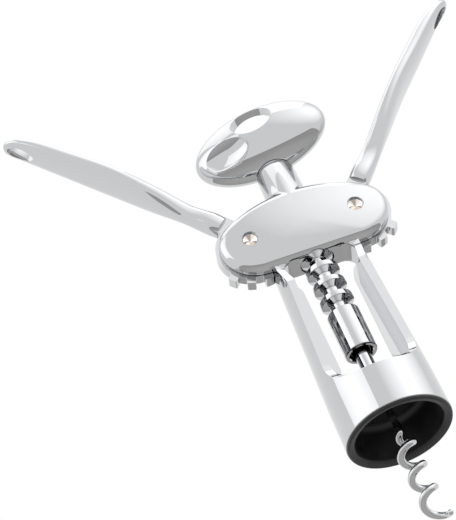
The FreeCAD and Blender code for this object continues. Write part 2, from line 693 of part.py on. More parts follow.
def make_lever(name, side):
    """Gear sector, neck web and blade of one lever; side is +1 on the right and -1 on the left."""
    place = FreeCAD.Placement(V(side * pivot_offset.value, 0, val("pivot_height")), FreeCAD.Rotation())
    body = new_body(name, place)
    body.setExpression("Placement.Base.x", (pivot_offset * side).text)
    body.setExpression("Placement.Base.z", S["pivot_height"].text)
    tilt = math.radians(val("lever_angle"))
    along = V(side * math.sin(tilt), 0, math.cos(tilt))
    across = V(side * math.cos(tilt), 0, -math.sin(tilt))

    sector = new_sketch(body, "XZ_Plane", name + "_teeth")
    draw_curves(sector, gear_points(side))
    padded(body, name + "_gear", sector, S["gear_thickness"], midplane=True)

    # web from the hub into the blade
    web = new_sketch(body, "XZ_Plane", name + "_web")
    start = blade_start.value
    end = start + val("web_overlap")
    middle = -val("blade_heel_offset")
    thick = val("blade_heel_thickness") * 0.45
    corners = []
    for u, v in ((0.0, middle + thick), (end, middle + thick), (end, middle - thick),
                 (val("web_start"), middle - thick)):
        p = along * u + across * v
        corners.append(V(p.x, p.z, 0))
    for a, b in zip(corners, corners[1:] + corners[:1]):
        web.addGeometry(Part.LineSegment(a, b), False)
    padded(body, name + "_neck", web, S["gear_thickness"], midplane=True)

    # blade: a loft through rounded sections
    sections = []
    for station in STATIONS:
        word = "blade_" + station[0]
        width = val(word + "_width")
        thickness = val(word + "_thickness")
        base = along * (start + station[1] * blade_length.value) - across * val(word + "_offset")
        turn = FreeCAD.Rotation(V(0, 1, 0), across, along, "ZXY")
        section = new_sketch(body, "XY_Plane", name + "_" + station[0],
                             FreeCAD.Placement(base, turn))
        ring = []
        for j in range(20):
            angle = 2 * math.pi * (j + 0.5) / 20
            c = math.cos(angle)
            s = math.sin(angle)
            ring.append(V(width / 2 * math.copysign(abs(c) ** 0.75, c),
                          thickness / 2 * math.copysign(abs(s) ** 0.75, s), 0))
        spline = Part.BSplineCurve()
        spline.interpolate(ring, True)
        section.addGeometry(spline, False)
        sections.append(section)
    blade = body.newObject("PartDesign::AdditiveLoft", name + "_blade")
    blade.Profile = sections[0]
    blade.Sections = sections[1:]
    blade.Ruled = False
    doc.recompute()

    # pin hole and the eye near the tip
    hole = new_sketch(body, "XZ_Plane", name + "_pin_hole")
    circle(hole, (0.0, 0.0), S["pin_radius"] + S["pin_play"])
    pocketed(body, name + "_bore", hole, S["gear_thickness"] * 2.0)
    place = along * (val("lever_length") - val("eye_inset")) - across * val("eye_offset")
    turn = FreeCAD.Rotation(V(0, 1, 0), along, across, "ZXY")
    eye = new_sketch(body, "XY_Plane", name + "_eye", FreeCAD.Placement(place, turn))
    eye.addGeometry(Part.Ellipse(V(0, val("eye_half_length"), 0), V(val("eye_half_width"), 0, 0), V(0, 0, 0)),
                    False)
    pocketed(body, name + "_eye_cut", eye, S["blade_belly_thickness"] * 3.0)
    return body


# ------------------------------------------------------------------ pins
def make_pin(name, side):
    """Pivot pin with a cone in its face, riveted in both plates."""
    body = new_body(name)
    body.setExpression("Placement.Base.x", (pivot_offset * side).text)
    body.setExpression("Placement.Base.z", S["pivot_height"].text)
    front = S["pin_recess"] - head_half_depth
    back = head_half_depth - S["pin_back_recess"]
    turned(body, name + "_turned", [
        (front + S["pin_dimple_depth"], 0.0),
        (front, S["pin_radius"] - S["pin_rim"]),
        (front, S["pin_radius"] - S["pin_edge"]),
        (front + S["pin_edge"], S["pin_radius"]),
        (back, S["pin_radius"]),
        (back, 0.0),
    ], role="YZ_Plane", axis="H_Axis")
    return body


# ------------------------------------------------------------------ rack tube
def make_rack():
    """Round rack: a sleeve, a row of rings and a plain guide tube, bored for the spindle."""
    body = new_body("rack_tube")
    ring = ring_radius
    low = rack_root_radius
    slope = math.tan(math.radians(val("pressure_angle")))
    half_pitch = S["rack_pitch"] / 4.0 - S["mesh_backlash"] / 2.0
    half_tip = half_pitch - (ring - rack_pitch_radius) * slope
    half_root = half_pitch + (rack_pitch_radius - low) * slope
    corner = S["rack_edge"]
    points = [
        (spindle_bore, rack_top),
        (spindle_bore, pocket_floor),
        (pocket_radius, pocket_floor),
        (pocket_radius, sleeve_bottom),
        (sleeve_radius - corner, sleeve_bottom),
        (sleeve_radius, sleeve_bottom + corner),
        (sleeve_radius, sleeve_end + half_tip + (ring - sleeve_radius) * slope),
        (low, sleeve_end + half_root),
    ]
    count = int(val("ring_count"))
    for k in range(count):
        middle = first_ring + S["rack_pitch"] * float(k)
        points.append((low, middle - half_root))
        points.append((ring, middle - half_tip))
        if k < count - 1:
            points.append((ring, middle + half_tip))
            points.append((low, middle + half_root))
    points.append((ring, rack_top - corner))
    points.append((ring - corner, rack_top))
    turned(body, "rack", points)
    return body


# ------------------------------------------------------------------ spindle
def make_spindle():
    """Shaft through the rack, with a thicker shank that carries the worm."""
    body = new_body("spindle_shaft")
    end = handle_bottom + S["spindle_reach"]
    shoulder = pocket_floor - S["shank_gap"]
    turned(body, "shaft", [
        (0.0, S["shank_bottom"]),
        (shank_radius - S["shank_nose"], S["shank_bottom"]),
        (shank_radius, S["shank_bottom"] + S["shank_nose_height"]),
        (shank_radius, shoulder),
        (S["spindle_radius"], shoulder),
        (S["spindle_radius"], end - S["spindle_edge"]),
        (S["spindle_radius"] - S["spindle_edge"], end),
        (0.0, end),
    ])
    return body


# ------------------------------------------------------------------ worm
def swing(share):
    """Smooth step from 0 to 1 without a kink or a jump in its bend."""
    share = min(max(share, 0.0), 1.0)
    return share ** 3 * (10 - 15 * share + 6 * share ** 2)


def worm_centre(level):
    """Middle of the wire at a level of the even coil.

    The wire leaves the axis at the bend and swings out to the full radius; its end is drawn down
    and outwards.
    """
    out = swing((worm_bend.value - level) / (worm_bend - worm_top).value)
    drawn = swing((worm_tip.value + val("worm_draw_run") - level) / val("worm_draw_run"))
    start = val("worm_skin") / 2
    radius = start + (val("worm_radius") - val("wire_radius") - start) * out + val("worm_flare") * drawn
    angle = math.radians(val("worm_phase")) + 2 * math.pi * (level - worm_tip.value) / val("worm_pitch")
    return V(radius * math.cos(angle) + val("worm_shift") * out,
             radius * math.sin(angle) + val("worm_set_back") * out,
             level - val("worm_draw") * drawn)


def wire_section(path, parameter, radius):
    """Round section of the wire, square to its run and in step with the coil."""
    run = path.tangent(parameter)[0]
    middle = path.value(parameter)
    outward = V(middle.x, middle.y, 0)
    outward = V(1, 0, 0) if outward.Length < 1e-6 else outward.normalize()
    outward = (outward - run * outward.dot(run)).normalize()
    ring = Part.Wire([Part.makeCircle(radius)])
    ring.Placement = FreeCAD.Placement(middle, FreeCAD.Rotation(outward, run.cross(outward), run, "ZXY"))
    return ring


def swept_wire(start, stop, radii):
    """Wire between two heights; two radii make it taper."""
    steps = max(int(round((start - stop) / val("worm_pitch") * 14)), 4)
    path = Part.BSplineCurve()
    path.interpolate([worm_centre(start - (start - stop) * i / steps) for i in range(steps + 1)])
    sweep = Part.BRepOffsetAPI.MakePipeShell(Part.Wire([path.toShape()]))
    sweep.setFrenetMode(True)
    ends = (path.FirstParameter, path.LastParameter)
    for parameter, radius in zip(ends, radii):
        sweep.add(wire_section(path, parameter, radius), False, False)
    sweep.build()
    sweep.makeSolid()
    return sweep.shape()


def make_worm():
    """Wire worm: straight below the shank, then a right-hand coil with a tapered, rounded point."""
    tip = worm_tip.value
    wire = val("wire_radius")
    skin = val("worm_skin")
    small = wire - val("worm_tip_step")
    lap = val("worm_lap")
    rod_start = worm_bend.value - lap
    rod = Part.makeCylinder(wire + skin, val("shank_bottom") - rod_start, V(0, 0, rod_start))
    bend = tip + val("worm_taper")
    coil = swept_wire(worm_bend.value, bend, [wire])
    point = swept_wire(bend + lap, tip, [wire - skin, small])
    ball = Part.makeSphere(small + skin, worm_centre(tip))
    feature = doc.addObject("Part::Feature", "worm")
    feature.Label = "worm"
    feature.Shape = coil.fuse(rod).fuse(point).fuse(ball)
    return feature


# ------------------------------------------------------------------ handle
def make_handle():
    """Flat ellipsoid with an oval hole, a dish in its front and a hollow back, set on the spindle."""
    a = val("handle_half_length")
    b = val("handle_half_depth")
    egg = doc.addObject("Part::Ellipsoid", "handle_egg")
    bind(egg, "Radius1", S["handle_half_height"])
    bind(egg, "Radius2", S["handle_half_length"])
    bind(egg, "Radius3", S["handle_half_depth"])
    egg.Angle1 = -90.0
    egg.Angle2 = 90.0
    egg.Angle3 = 360.0

    hole = doc.addObject("Part::Ellipse", "handle_hole_outline")
    bind(hole, "MajorRadius", S["window_half_length"])
    bind(hole, "MinorRadius", S["window_half_height"])
    above = S["handle_half_height"] - S["window_edge"] - S["window_half_height"]
    hole.Placement = FreeCAD.Placement(V(val("window_across"), 2 * b, above.value),
                                       FreeCAD.Rotation(V(1, 0, 0), 90))
    hole.setExpression("Placement.Base.x", S["window_across"].text)
    hole.setExpression("Placement.Base.z", above.text)
    through = doc.addObject("Part::Extrusion", "handle_hole")
    through.Base = hole
    through.DirMode = "Custom"
    through.Dir = V(0, -1, 0)
    bind(through, "LengthFwd", S["handle_half_depth"] * 4.0)
    through.Solid = True

    # the dish is a second ellipsoid that dips into the front surface
    x = val("dish_edge") + val("dish_half_length") - a
    z = val("dish_above")
    share = (x / a) ** 2 + (z / val("handle_half_height")) ** 2
    surface = -b * math.sqrt(1 - share)
    normal = V(x / a ** 2, surface / b ** 2, z / val("handle_half_height") ** 2).normalize()
    depth = val("dish_depth")
    dish = doc.addObject("Part::Ellipsoid", "handle_dish")
    bind(dish, "Radius1", S["dish_depth"] * 1.5)
    bind(dish, "Radius2", S["dish_half_length"])
    bind(dish, "Radius3", S["dish_half_height"])
    dish.Angle1 = -90.0
    dish.Angle2 = 90.0
    dish.Angle3 = 360.0
    flat = V(-normal.y, normal.x, 0).normalize()
    base = V(x, surface, z) + normal * (depth * 0.25)
    dish.Placement = FreeCAD.Placement(base, FreeCAD.Rotation(flat, V(0, 0, 1), normal, "ZXY"))

    socket = doc.addObject("Part::Cylinder", "handle_socket")
    bind(socket, "Radius", S["spindle_radius"] + S["pin_fit"])
    lead = S["spindle_radius"] * 2.0
    bind(socket, "Height", S["spindle_reach"] + lead)
    socket.setExpression("Placement.Base.z", (-S["handle_half_height"] - lead).text)

    # the hollow runs along the whole back, so that the wall behind the hole is thin
    scoop = doc.addObject("Part::Cylinder", "handle_scoop")
    bind(scoop, "Radius", S["scoop_radius"])
    bind(scoop, "Height", S["handle_half_length"] * 4.0)
    scoop.Placement = FreeCAD.Placement(V(-2 * a, 0, 0), FreeCAD.Rotation(V(0, 1, 0), 90))
    scoop.setExpression("Placement.Base.x", (-(S["handle_half_length"] * 2.0)).text)
    scoop.setExpression("Placement.Base.y", (S["scoop_radius"] - S["scoop_reach"]).text)
    scoop.setExpression("Placement.Base.z", (above + S["scoop_lift"]).text)

    shape = egg
    for i, tool in enumerate((through, dish, scoop, socket)):
        cut = doc.addObject("Part::Cut", "handle_cut" + str(i))
        cut.Base = shape
        cut.Tool = tool
        shape = cut
    shape.Label = "turning_handle"
    shape.Placement = FreeCAD.Placement(V(0, 0, handle_middle.value),
                                        FreeCAD.Rotation(V(0, 0, 1), val("handle_turn")))
    shape.setExpression("Placement.Base.z", handle_middle.text)
    return shape


pieces = [
    make_frame(),
    make_liner(),
    make_lever("right_lever", 1.0),
    make_lever("left_lever", -1.0),
    make_pin("right_pivot_pin", 1.0),
    make_pin("left_pivot_pin", -1.0),
    make_rack(),
    make_spindle(),
    make_worm(),
    make_handle(),
]
doc.recompute()

for thing in doc.Objects:
    if "Invalid" in thing.State or "Error" in thing.State:
        raise RuntimeError(thing.Name + " failed: " + str(thing.State))
for piece in pieces:
    if piece.Shape.isNull() or not piece.Shape.isValid():
        raise RuntimeError(piece.Label + " has no valid shape")
    if len(piece.Shape.Solids) != 1:
        raise RuntimeError(piece.Label + " has " + str(len(piece.Shape.Solids)) + " solids")

for piece in pieces:
    piece.Shape.exportStep(os.path.join("parts", piece.Label + ".step"))
    box = piece.Shape.BoundBox
    ends = (box.XMin, box.XMax, box.YMin, box.YMax, box.ZMin, box.ZMax)
    print(piece.Label, "volume %.1f" % piece.Shape.Volume, "x %.2f..%.2f y %.2f..%.2f z %.2f..%.2f" % ends)
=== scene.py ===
"""Wing corkscrew dressed in mirror chrome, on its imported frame.

Lengths in the classes are millimetres in the frame of the part: +Z up along the worm, the broad face
of the head to -Y, the origin in the middle of the bell's bottom rim.
"""
import logging
import math
from dataclasses import dataclass
from enum import Enum
from typing import Callable, List, Sequence, Tuple

import bpy
from mathutils import Matrix, Vector


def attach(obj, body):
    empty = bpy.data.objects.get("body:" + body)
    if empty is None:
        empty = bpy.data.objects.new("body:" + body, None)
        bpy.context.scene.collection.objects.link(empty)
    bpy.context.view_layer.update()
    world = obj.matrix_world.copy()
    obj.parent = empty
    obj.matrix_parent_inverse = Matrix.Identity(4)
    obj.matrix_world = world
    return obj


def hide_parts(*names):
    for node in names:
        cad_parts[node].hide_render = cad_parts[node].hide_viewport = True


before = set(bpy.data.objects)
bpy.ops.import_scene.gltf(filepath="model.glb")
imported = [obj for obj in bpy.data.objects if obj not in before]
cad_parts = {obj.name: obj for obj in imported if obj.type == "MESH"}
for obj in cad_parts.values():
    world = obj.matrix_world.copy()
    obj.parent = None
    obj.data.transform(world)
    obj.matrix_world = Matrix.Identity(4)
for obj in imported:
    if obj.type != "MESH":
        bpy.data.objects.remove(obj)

logging.basicConfig(level=logging.INFO, format="%(message)s")
log = logging.getLogger("corkscrew")

MM = 0.001
Point = Tuple[float, float]
Triple = Tuple[float, float, float]
Colour = Triple
Piece = bpy.types.Object

PIVOT: Point = (18.9, 87.3)  # middle of the right pin, X and Z
SLOT_RADIUS = 15.2  # slot in which a gear sector turns
SLOT_HALF = 2.3
REACH = 40.0  # how far a cutter stands out past the tool
ON_AXIS = 0.01  # radius that stands for a point on the axis


class Along(Enum):
    """Axis that a prism is drawn out along."""

    X = "x"
    Y = "y"
    Z = "z"


class Side(Enum):
    """The two sides of the tool, with the sign of their X."""

    RIGHT = 1.0
    LEFT = -1.0

    def pivot(self) -> Triple:
        """Middle of this side's pin, in mm."""
        return PIVOT[0] * self.value, 0.0, PIVOT[1]


# ---- modelling by operators
def clear_selection() -> None:
    """Leave edit mode and deselect everything."""
    if bpy.context.object is not None and bpy.context.object.mode != "OBJECT":
        bpy.ops.object.mode_set(mode="OBJECT")
    bpy.ops.object.select_all(action="DESELECT")


def take(obj: Piece) -> None:
    """Make one object the only selected and active one.

    Args:
        obj: the object to take.
    """
    clear_selection()
    obj.select_set(True)
    bpy.context.view_layer.objects.active = obj


def edit_all() -> None:
    """Enter edit mode with every vertex selected."""
    bpy.ops.object.mode_set(mode="EDIT")
    bpy.ops.mesh.select_mode(type="VERT")
    bpy.ops.mesh.select_all(action="SELECT")


def tidy(obj: Piece) -> None:
    """Merge doubles and turn all faces outwards.

    Args:
        obj: a closed mesh.
    """
    take(obj)
    edit_all()
    bpy.ops.mesh.remove_doubles(threshold=1e-7)
    bpy.ops.mesh.normals_make_consistent(inside=False)
    bpy.ops.object.mode_set(mode="OBJECT")


def arc(centre: Point, radius: float, start: float, stop: float, steps: int) -> List[Point]:
    """Points on an arc.

    Args:
        centre: middle of the arc.
        radius: its radius.
        start: first angle in degrees.
        stop: last angle in degrees.
        steps: number of chords.

    Returns:
        The points, both ends included.
    """
    found = []
    for i in range(steps + 1):
        angle = math.radians(start + (stop - start) * i / steps)
        found.append((centre[0] + radius * math.cos(angle), centre[1] + radius * math.sin(angle)))
    return found


def oval(centre: Point, half: Point, steps: int) -> List[Point]:
    """Points round an oval with this middle and these half axes."""
    turns = [2 * math.pi * i / steps for i in range(steps)]
    return [(centre[0] + half[0] * math.cos(turn), centre[1] + half[1] * math.sin(turn)) for turn in turns]


def blank(name: str, sides: int, radius: float = 1.0, height: float = 0.0, filled: bool = True) -> Piece:
    """Start a piece as a flat circle on the Z axis.

    Args:
        name: name of the piece and its mesh.
        sides: number of its corners.
        radius: its radius in mm.
        height: its height in mm.
        filled: True for a face, False for a bare ring.

    Returns:
        The new object.
    """
    clear_selection()
    bpy.ops.mesh.primitive_circle_add(vertices=sides, radius=radius * MM,
                                      fill_type="NGON" if filled else "NOTHING", location=(0, 0, height * MM))
    obj = bpy.context.object
    obj.name = obj.data.name = name
    bpy.ops.object.transform_apply(location=True, rotation=True, scale=True)
    return obj


def turned(name: str, stations: Sequence[Point], steps: int, ring: bool = False) -> Piece:
    """Turn a piece on the Z axis by extruding a circle from station to station.

    Args:
        name: name of the piece.
        stations: (radius, height) pairs in mm along its outline.
        steps: sides of the circle.
        ring: True where the outline closes on itself, False where its ends lie on the axis.

    Returns:
        The new object.
    """
    rows = [(max(radius, ON_AXIS), height) for radius, height in stations]
    radius, height = rows[0]
    obj = blank(name, steps, radius, height, not ring)
    edit_all()
    for next_radius, next_height in rows[1:] + (rows[:1] if ring else []):
        bpy.ops.mesh.extrude_region_move(
            TRANSFORM_OT_translate={"value": (0, 0, (next_height - height) * MM)})
        grow = next_radius / radius
        bpy.ops.transform.resize(value=(grow, grow, 1), center_override=(0, 0, next_height * MM))
        radius, height = next_radius, next_height
    bpy.ops.object.mode_set(mode="OBJECT")
    tidy(obj)
    return obj


def prism(name: str, outline: Sequence[Point], low: float, high: float, along: Along) -> Piece:
    """Draw a closed outline out into a straight body.

    Args:
        name: name of the piece.
        outline: corners in mm, in the two axes that are left, in X, Y, Z order.
        low: where the body starts along its axis.
        high: where it ends.
        along: the axis.

    Returns:
        The new object.
    """
    obj = blank(name, len(outline))
    for vertex, (a, b) in zip(obj.data.vertices, outline):
        place = {Along.X: (low, a, b), Along.Y: (a, low, b), Along.Z: (a, b, low)}[along]
        vertex.co = Vector(place) * MM
    reach = (high - low) * MM
    run = {Along.X: (reach, 0, 0), Along.Y: (0, reach, 0), Along.Z: (0, 0, reach)}[along]
    edit_all()
    bpy.ops.mesh.extrude_region_move(TRANSFORM_OT_translate={"value": run})
    bpy.ops.object.mode_set(mode="OBJECT")
    tidy(obj)
    return obj


def drum(name: str, at: Triple, radius: float, length: float, steps: int) -> Piece:
    """Round cutter along Y about its middle."""
    outline = arc((at[0], at[2]), radius, 0, 360 * (steps - 1) / steps, steps - 1)
    return prism(name, outline, at[1] - length / 2, at[1] + length / 2, Along.Y)


def skin(name: str, rows: Sequence[Sequence[Vector]]) -> Piece:
    """Extrude a closed loop row by row, lay each row on its points and close both ends.

    Args:
        name: name of the piece.
        rows: loops of points in mm, all with the same count.

    Returns:
        The new object.
    """
    sides = len(rows[0])
    obj = blank(name, sides)
    edit_all()
    for _ in rows[1:]:
        bpy.ops.mesh.extrude_region_move(TRANSFORM_OT_translate={"value": (0, 0, MM)})
    bpy.ops.object.mode_set(mode="OBJECT")
    for vertex in obj.data.vertices:
        around = math.atan2(vertex.co.y, vertex.co.x) / (2 * math.pi) * sides
        vertex.co = rows[round(vertex.co.z / MM)][round(around) % sides] * MM
    tidy(obj)
    return obj


def put(thing: object, **values: object) -> None:
    """Set properties of a modifier, a node or an object's data."""
    for name, value in values.items():
        setattr(thing, name, value)


def modify(obj: Piece, kind: str, **settings: object) -> None:
    """Add a modifier to an object, set it up and apply it.

    Args:
        obj: the object.
        kind: type of the modifier.
        settings: values of its properties.
    """
    take(obj)
    bpy.ops.object.modifier_add(type=kind)
    modifier = obj.modifiers[-1]
    put(modifier, **settings)
    bpy.ops.object.modifier_apply(modifier=modifier.name)


def cast(name: str, parts: Sequence[Piece], grain: float, rounds: int) -> Piece:
    """Melt overlapping pieces into one skin with soft fillets where they meet.

    Args:
        name: name of the casting.
        parts: the closed pieces.
        grain: size of the new faces in mm.
        rounds: how often the skin is smoothed.

    Returns:
        The casting.
    """
    clear_selection()
    for piece in parts:
        piece.select_set(True)
    bpy.context.view_layer.objects.active = parts[0]
    bpy.ops.object.join()
    obj = bpy.context.object
    obj.name = obj.data.name = name
    modify(obj, "REMESH", mode="VOXEL", voxel_size=grain * MM)
    modify(obj, "SMOOTH", factor=0.5, iterations=rounds)
    return obj


def combine(obj: Piece, others: Sequence[Piece], how: str) -> None:
    """Boolean others into an object and remove them.

    Args:
        obj: the object that stays.
        others: the tools.
        how: UNION, DIFFERENCE or INTERSECT.
    """
    for other in others:
        modify(obj, "BOOLEAN", operation=how, solver="EXACT", object=other)
        bpy.data.objects.remove(other, do_unlink=True)


def soften(obj: Piece, width: float, angle: float = 30.0, segments: int = 3, smooth: float = 40.0) -> Piece:
    """Round the sharp edges of a piece and shade it smooth.

    Args:
        obj: the piece.
        width: width of the rounding in mm, or 0 for none.
        angle: smallest angle between faces that is rounded.
        segments: steps in the rounding.
        smooth: largest angle that is shaded smooth.

    Returns:
        The same piece.
    """
    take(obj)
    if width > 0:
        modify(obj, "BEVEL", width=width * MM, segments=segments, limit_method="ANGLE",
               angle_limit=math.radians(angle), miter_outer="MITER_ARC")
    bpy.ops.object.shade_smooth_by_angle(angle=math.radians(smooth))
    modify(obj, "WEIGHTED_NORMAL", keep_sharp=True, weight=80)
    return obj


def mount(obj: Piece, body: str, slot: str, material: bpy.types.Material, *nodes: str) -> None:
    """Give a piece its finish and its body, and hide the CAD nodes that it stands for.

    Args:
        obj: the piece.
        body: the body it rides on.
        slot: not used.
        material: its finish.
        nodes: the CAD nodes that it replaces.
    """
    obj.data.materials.clear()
    obj.data.materials.append(material)
    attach(obj, body)
    if nodes:
        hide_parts(*nodes)
    log.info("piece %s: %d faces on %s", obj.name, len(obj.data.polygons), body)


# ---- finishes
class Nodes:
    """A small helper that adds and links shader nodes."""

    def __init__(self, tree: bpy.types.NodeTree) -> None:
        """Empty the tree and keep it."""
        self.tree = tree
        tree.nodes.clear()

    def add(self, kind: str, **sockets: object) -> bpy.types.Node:
        """Add a node.

        Args:
            kind: type of the node.
            sockets: values or links for its inputs; an underscore stands for a space.

        Returns:
            The new node.
        """
        node = self.tree.nodes.new(kind)
        for name, value in sockets.items():
            self.feed(node, name.replace("_", " "), value)
        return node

    def feed(self, node: bpy.types.Node, name: object, value: object) -> None:
        """Set or link one input of a node.

        Args:
            node: the node.
            name: name or number of its input.
            value: a value, or the output that is linked to it.
        """
        socket = node.inputs[name]
        if isinstance(value, bpy.types.NodeSocket):
            self.tree.links.new(value, socket)
        else:
            socket.default_value = value

    def math(self, how: str, first: object, second: object) -> bpy.types.NodeSocket:
        """Add a Math node.

        Args:
            how: its operation.
            first: value or link of its first input.
            second: value or link of its second input.

        Returns:
            Its result.
        """
        node = self.tree.nodes.new("ShaderNodeMath")
        node.operation = how
        self.feed(node, 0, first)
        self.feed(node, 1, second)
        return node.outputs[0]

    def surface(self, **sockets: object) -> None:
        """End the material in a Principled shader with these inputs."""
        shader = self.add("ShaderNodeBsdfPrincipled", **sockets)
        self.add("ShaderNodeOutputMaterial", Surface=shader.outputs[0])

    def ramp(self, value: object, stops: Sequence[Tuple[float, Colour]]) -> bpy.types.NodeSocket:
        """Add a colour ramp.

        Args:
            value: what drives it, 0 to 1.
            stops: positions and colours.

        Returns:
            The ramp's colour.
        """
        node = self.tree.nodes.new("ShaderNodeValToRGB")
        elements = node.color_ramp.elements
        while len(elements) < len(stops):
            elements.new(0.5)
        for element, (place, colour) in zip(elements, sorted(stops)):
            element.position = place
            element.color = (*colour, 1.0)
        self.feed(node, 0, value)
        return node.outputs[0]


def new_material(name: str) -> Tuple[bpy.types.Material, Nodes, bpy.types.NodeSocket]:
    """Start an empty material.

    Args:
        name: name of the material.

    Returns:
        The material, its nodes and the place on the piece in Object coordinates.
    """
    material = bpy.data.materials.new(name)
    material.use_nodes = True
    nodes = Nodes(material.node_tree)
    return material, nodes, nodes.add("ShaderNodeTexCoord").outputs["Object"]


@dataclass(frozen=True)
class Chrome:
    """Mirror chrome plate: faint waves of the casting under it and a breath of haze.

    A crown rounds a face a little about the height crown_middle: its two values are how fast the face falls
    away to the sides and up or down.
    """

    name: str
    base: Colour = (0.57, 0.576, 0.585)
    roughness: float = 0.035
    haze: float = 0.03
    wave: float = 0.012
    wave_scale: float = 120.0
    crown: Tuple[float, float] = (0.0, 0.0)
    crown_middle: float = 88.0

    def make(self) -> bpy.types.Material:
        """Build the material.

        Returns:
            The material.
        """
        material, nodes, place = new_material(self.name)
        cloud = nodes.add("ShaderNodeTexNoise", Vector=place, Scale=70.0, Detail=3.0, Roughness=0.6)
        haze = nodes.add("ShaderNodeMapRange", Value=cloud.outputs[0], From_Min=0.35, From_Max=0.75,
                         To_Min=self.roughness, To_Max=self.roughness + self.haze)
        wave = nodes.add("ShaderNodeTexNoise", Vector=place, Scale=self.wave_scale, Detail=1.0)
        height = nodes.math("MULTIPLY", wave.outputs[0], self.wave * MM)
        if self.crown != (0.0, 0.0):
            axes = nodes.add("ShaderNodeSeparateXYZ", Vector=place)
            across = nodes.math("MULTIPLY", axes.outputs[0], axes.outputs[0])
            lift = nodes.math("SUBTRACT", axes.outputs[2], self.crown_middle * MM)
            up = nodes.math("MULTIPLY", lift, lift)
            sag = nodes.math("ADD", nodes.math("MULTIPLY", across, self.crown[0]),
                             nodes.math("MULTIPLY", up, self.crown[1]))
            height = nodes.math("SUBTRACT", height, sag)
        bump = nodes.add("ShaderNodeBump", Height=height, Strength=1.0, Distance=1.0)
        nodes.surface(Base_Color=(*self.base, 1.0), Metallic=1.0, Roughness=haze.outputs[0],
                      Normal=bump.outputs[0])
        return material


@dataclass(frozen=True)
class TurnedSteel:
    """Turned steel with fine rings about its pin's axis, and painted shade round the rim for the shadowed gap
    between pin and casting.

    The rim turns from the steel's colour to the painted shade between these two shares of reach.
    """

    name: str
    centre: Triple
    base: Colour = (0.86, 0.78, 0.72)
    # painted shade: near-black colour laid on the pin's outer rim for the shadowed gap round it
    gap_shade: Colour = (0.02, 0.018, 0.016)
    reach: float = 3.0
    shade_start: float = 0.79
    shade_full: float = 0.86

    def make(self) -> bpy.types.Material:
        """Build the material.

        Returns:
            The material.
        """
        material, nodes, place = new_material(self.name)
        mapping = nodes.add("ShaderNodeMapping", Vector=place, Location=[-v * MM for v in self.centre])
        wave = nodes.add("ShaderNodeTexWave", Vector=mapping.outputs[0], Scale=900.0, Distortion=0.6)
        put(wave, wave_type="RINGS", rings_direction="Y")
        bump = nodes.add("ShaderNodeBump", Height=wave.outputs[1], Strength=0.12, Distance=0.00001)
        grain = nodes.add("ShaderNodeTexNoise", Vector=place, Scale=900.0, Detail=2.0)
        rough = nodes.add("ShaderNodeMapRange", Value=grain.outputs[0], To_Min=0.05, To_Max=0.13)
        flat = nodes.add("ShaderNodeVectorMath")
        flat.operation = "MULTIPLY"
        nodes.feed(flat, 0, mapping.outputs[0])
        flat.inputs[1].default_value = (1.0, 0.0, 1.0)
        span = nodes.add("ShaderNodeVectorMath")
        span.operation = "LENGTH"
        nodes.feed(span, 0, flat.outputs[0])
        out = nodes.math("DIVIDE", span.outputs["Value"], self.reach * MM)
        # painted shade: the pin darkens towards its rim to stand in for the shadow in the gap round it
        colour = nodes.ramp(out, [(0.0, self.base), (self.shade_start, self.base), (self.shade_full, self.gap_shade),
                                  (1.0, self.gap_shade)])
        nodes.surface(Base_Color=colour, Metallic=1.0, Roughness=rough.outputs[0], Normal=bump.outputs[0])
        return material


@dataclass(frozen=True)
class MouldedBlack:
    """Black moulded plastic with a fine grain and a soft gloss."""

    name: str
    base: Colour = (0.012, 0.012, 0.013)
    worn: Colour = (0.03, 0.03, 0.031)

    def make(self) -> bpy.types.Material:
        """Build the material.

        Returns:
            The material.
        """
        material, nodes, place = new_material(self.name)
        cloud = nodes.add("ShaderNodeTexNoise", Vector=place, Scale=160.0, Detail=4.0)
        colour = nodes.ramp(cloud.outputs[0], [(0.35, self.base), (0.75, self.worn)])
        grain = nodes.add("ShaderNodeTexNoise", Vector=place, Scale=2600.0, Detail=2.0)
        bump = nodes.add("ShaderNodeBump", Height=grain.outputs[0], Strength=0.25, Distance=0.00003)
        rough = nodes.add("ShaderNodeMapRange", Value=cloud.outputs[0], To_Min=0.38, To_Max=0.55)
        nodes.surface(Base_Color=colour, Roughness=rough.outputs[0], Normal=bump.outputs[0])
        return material


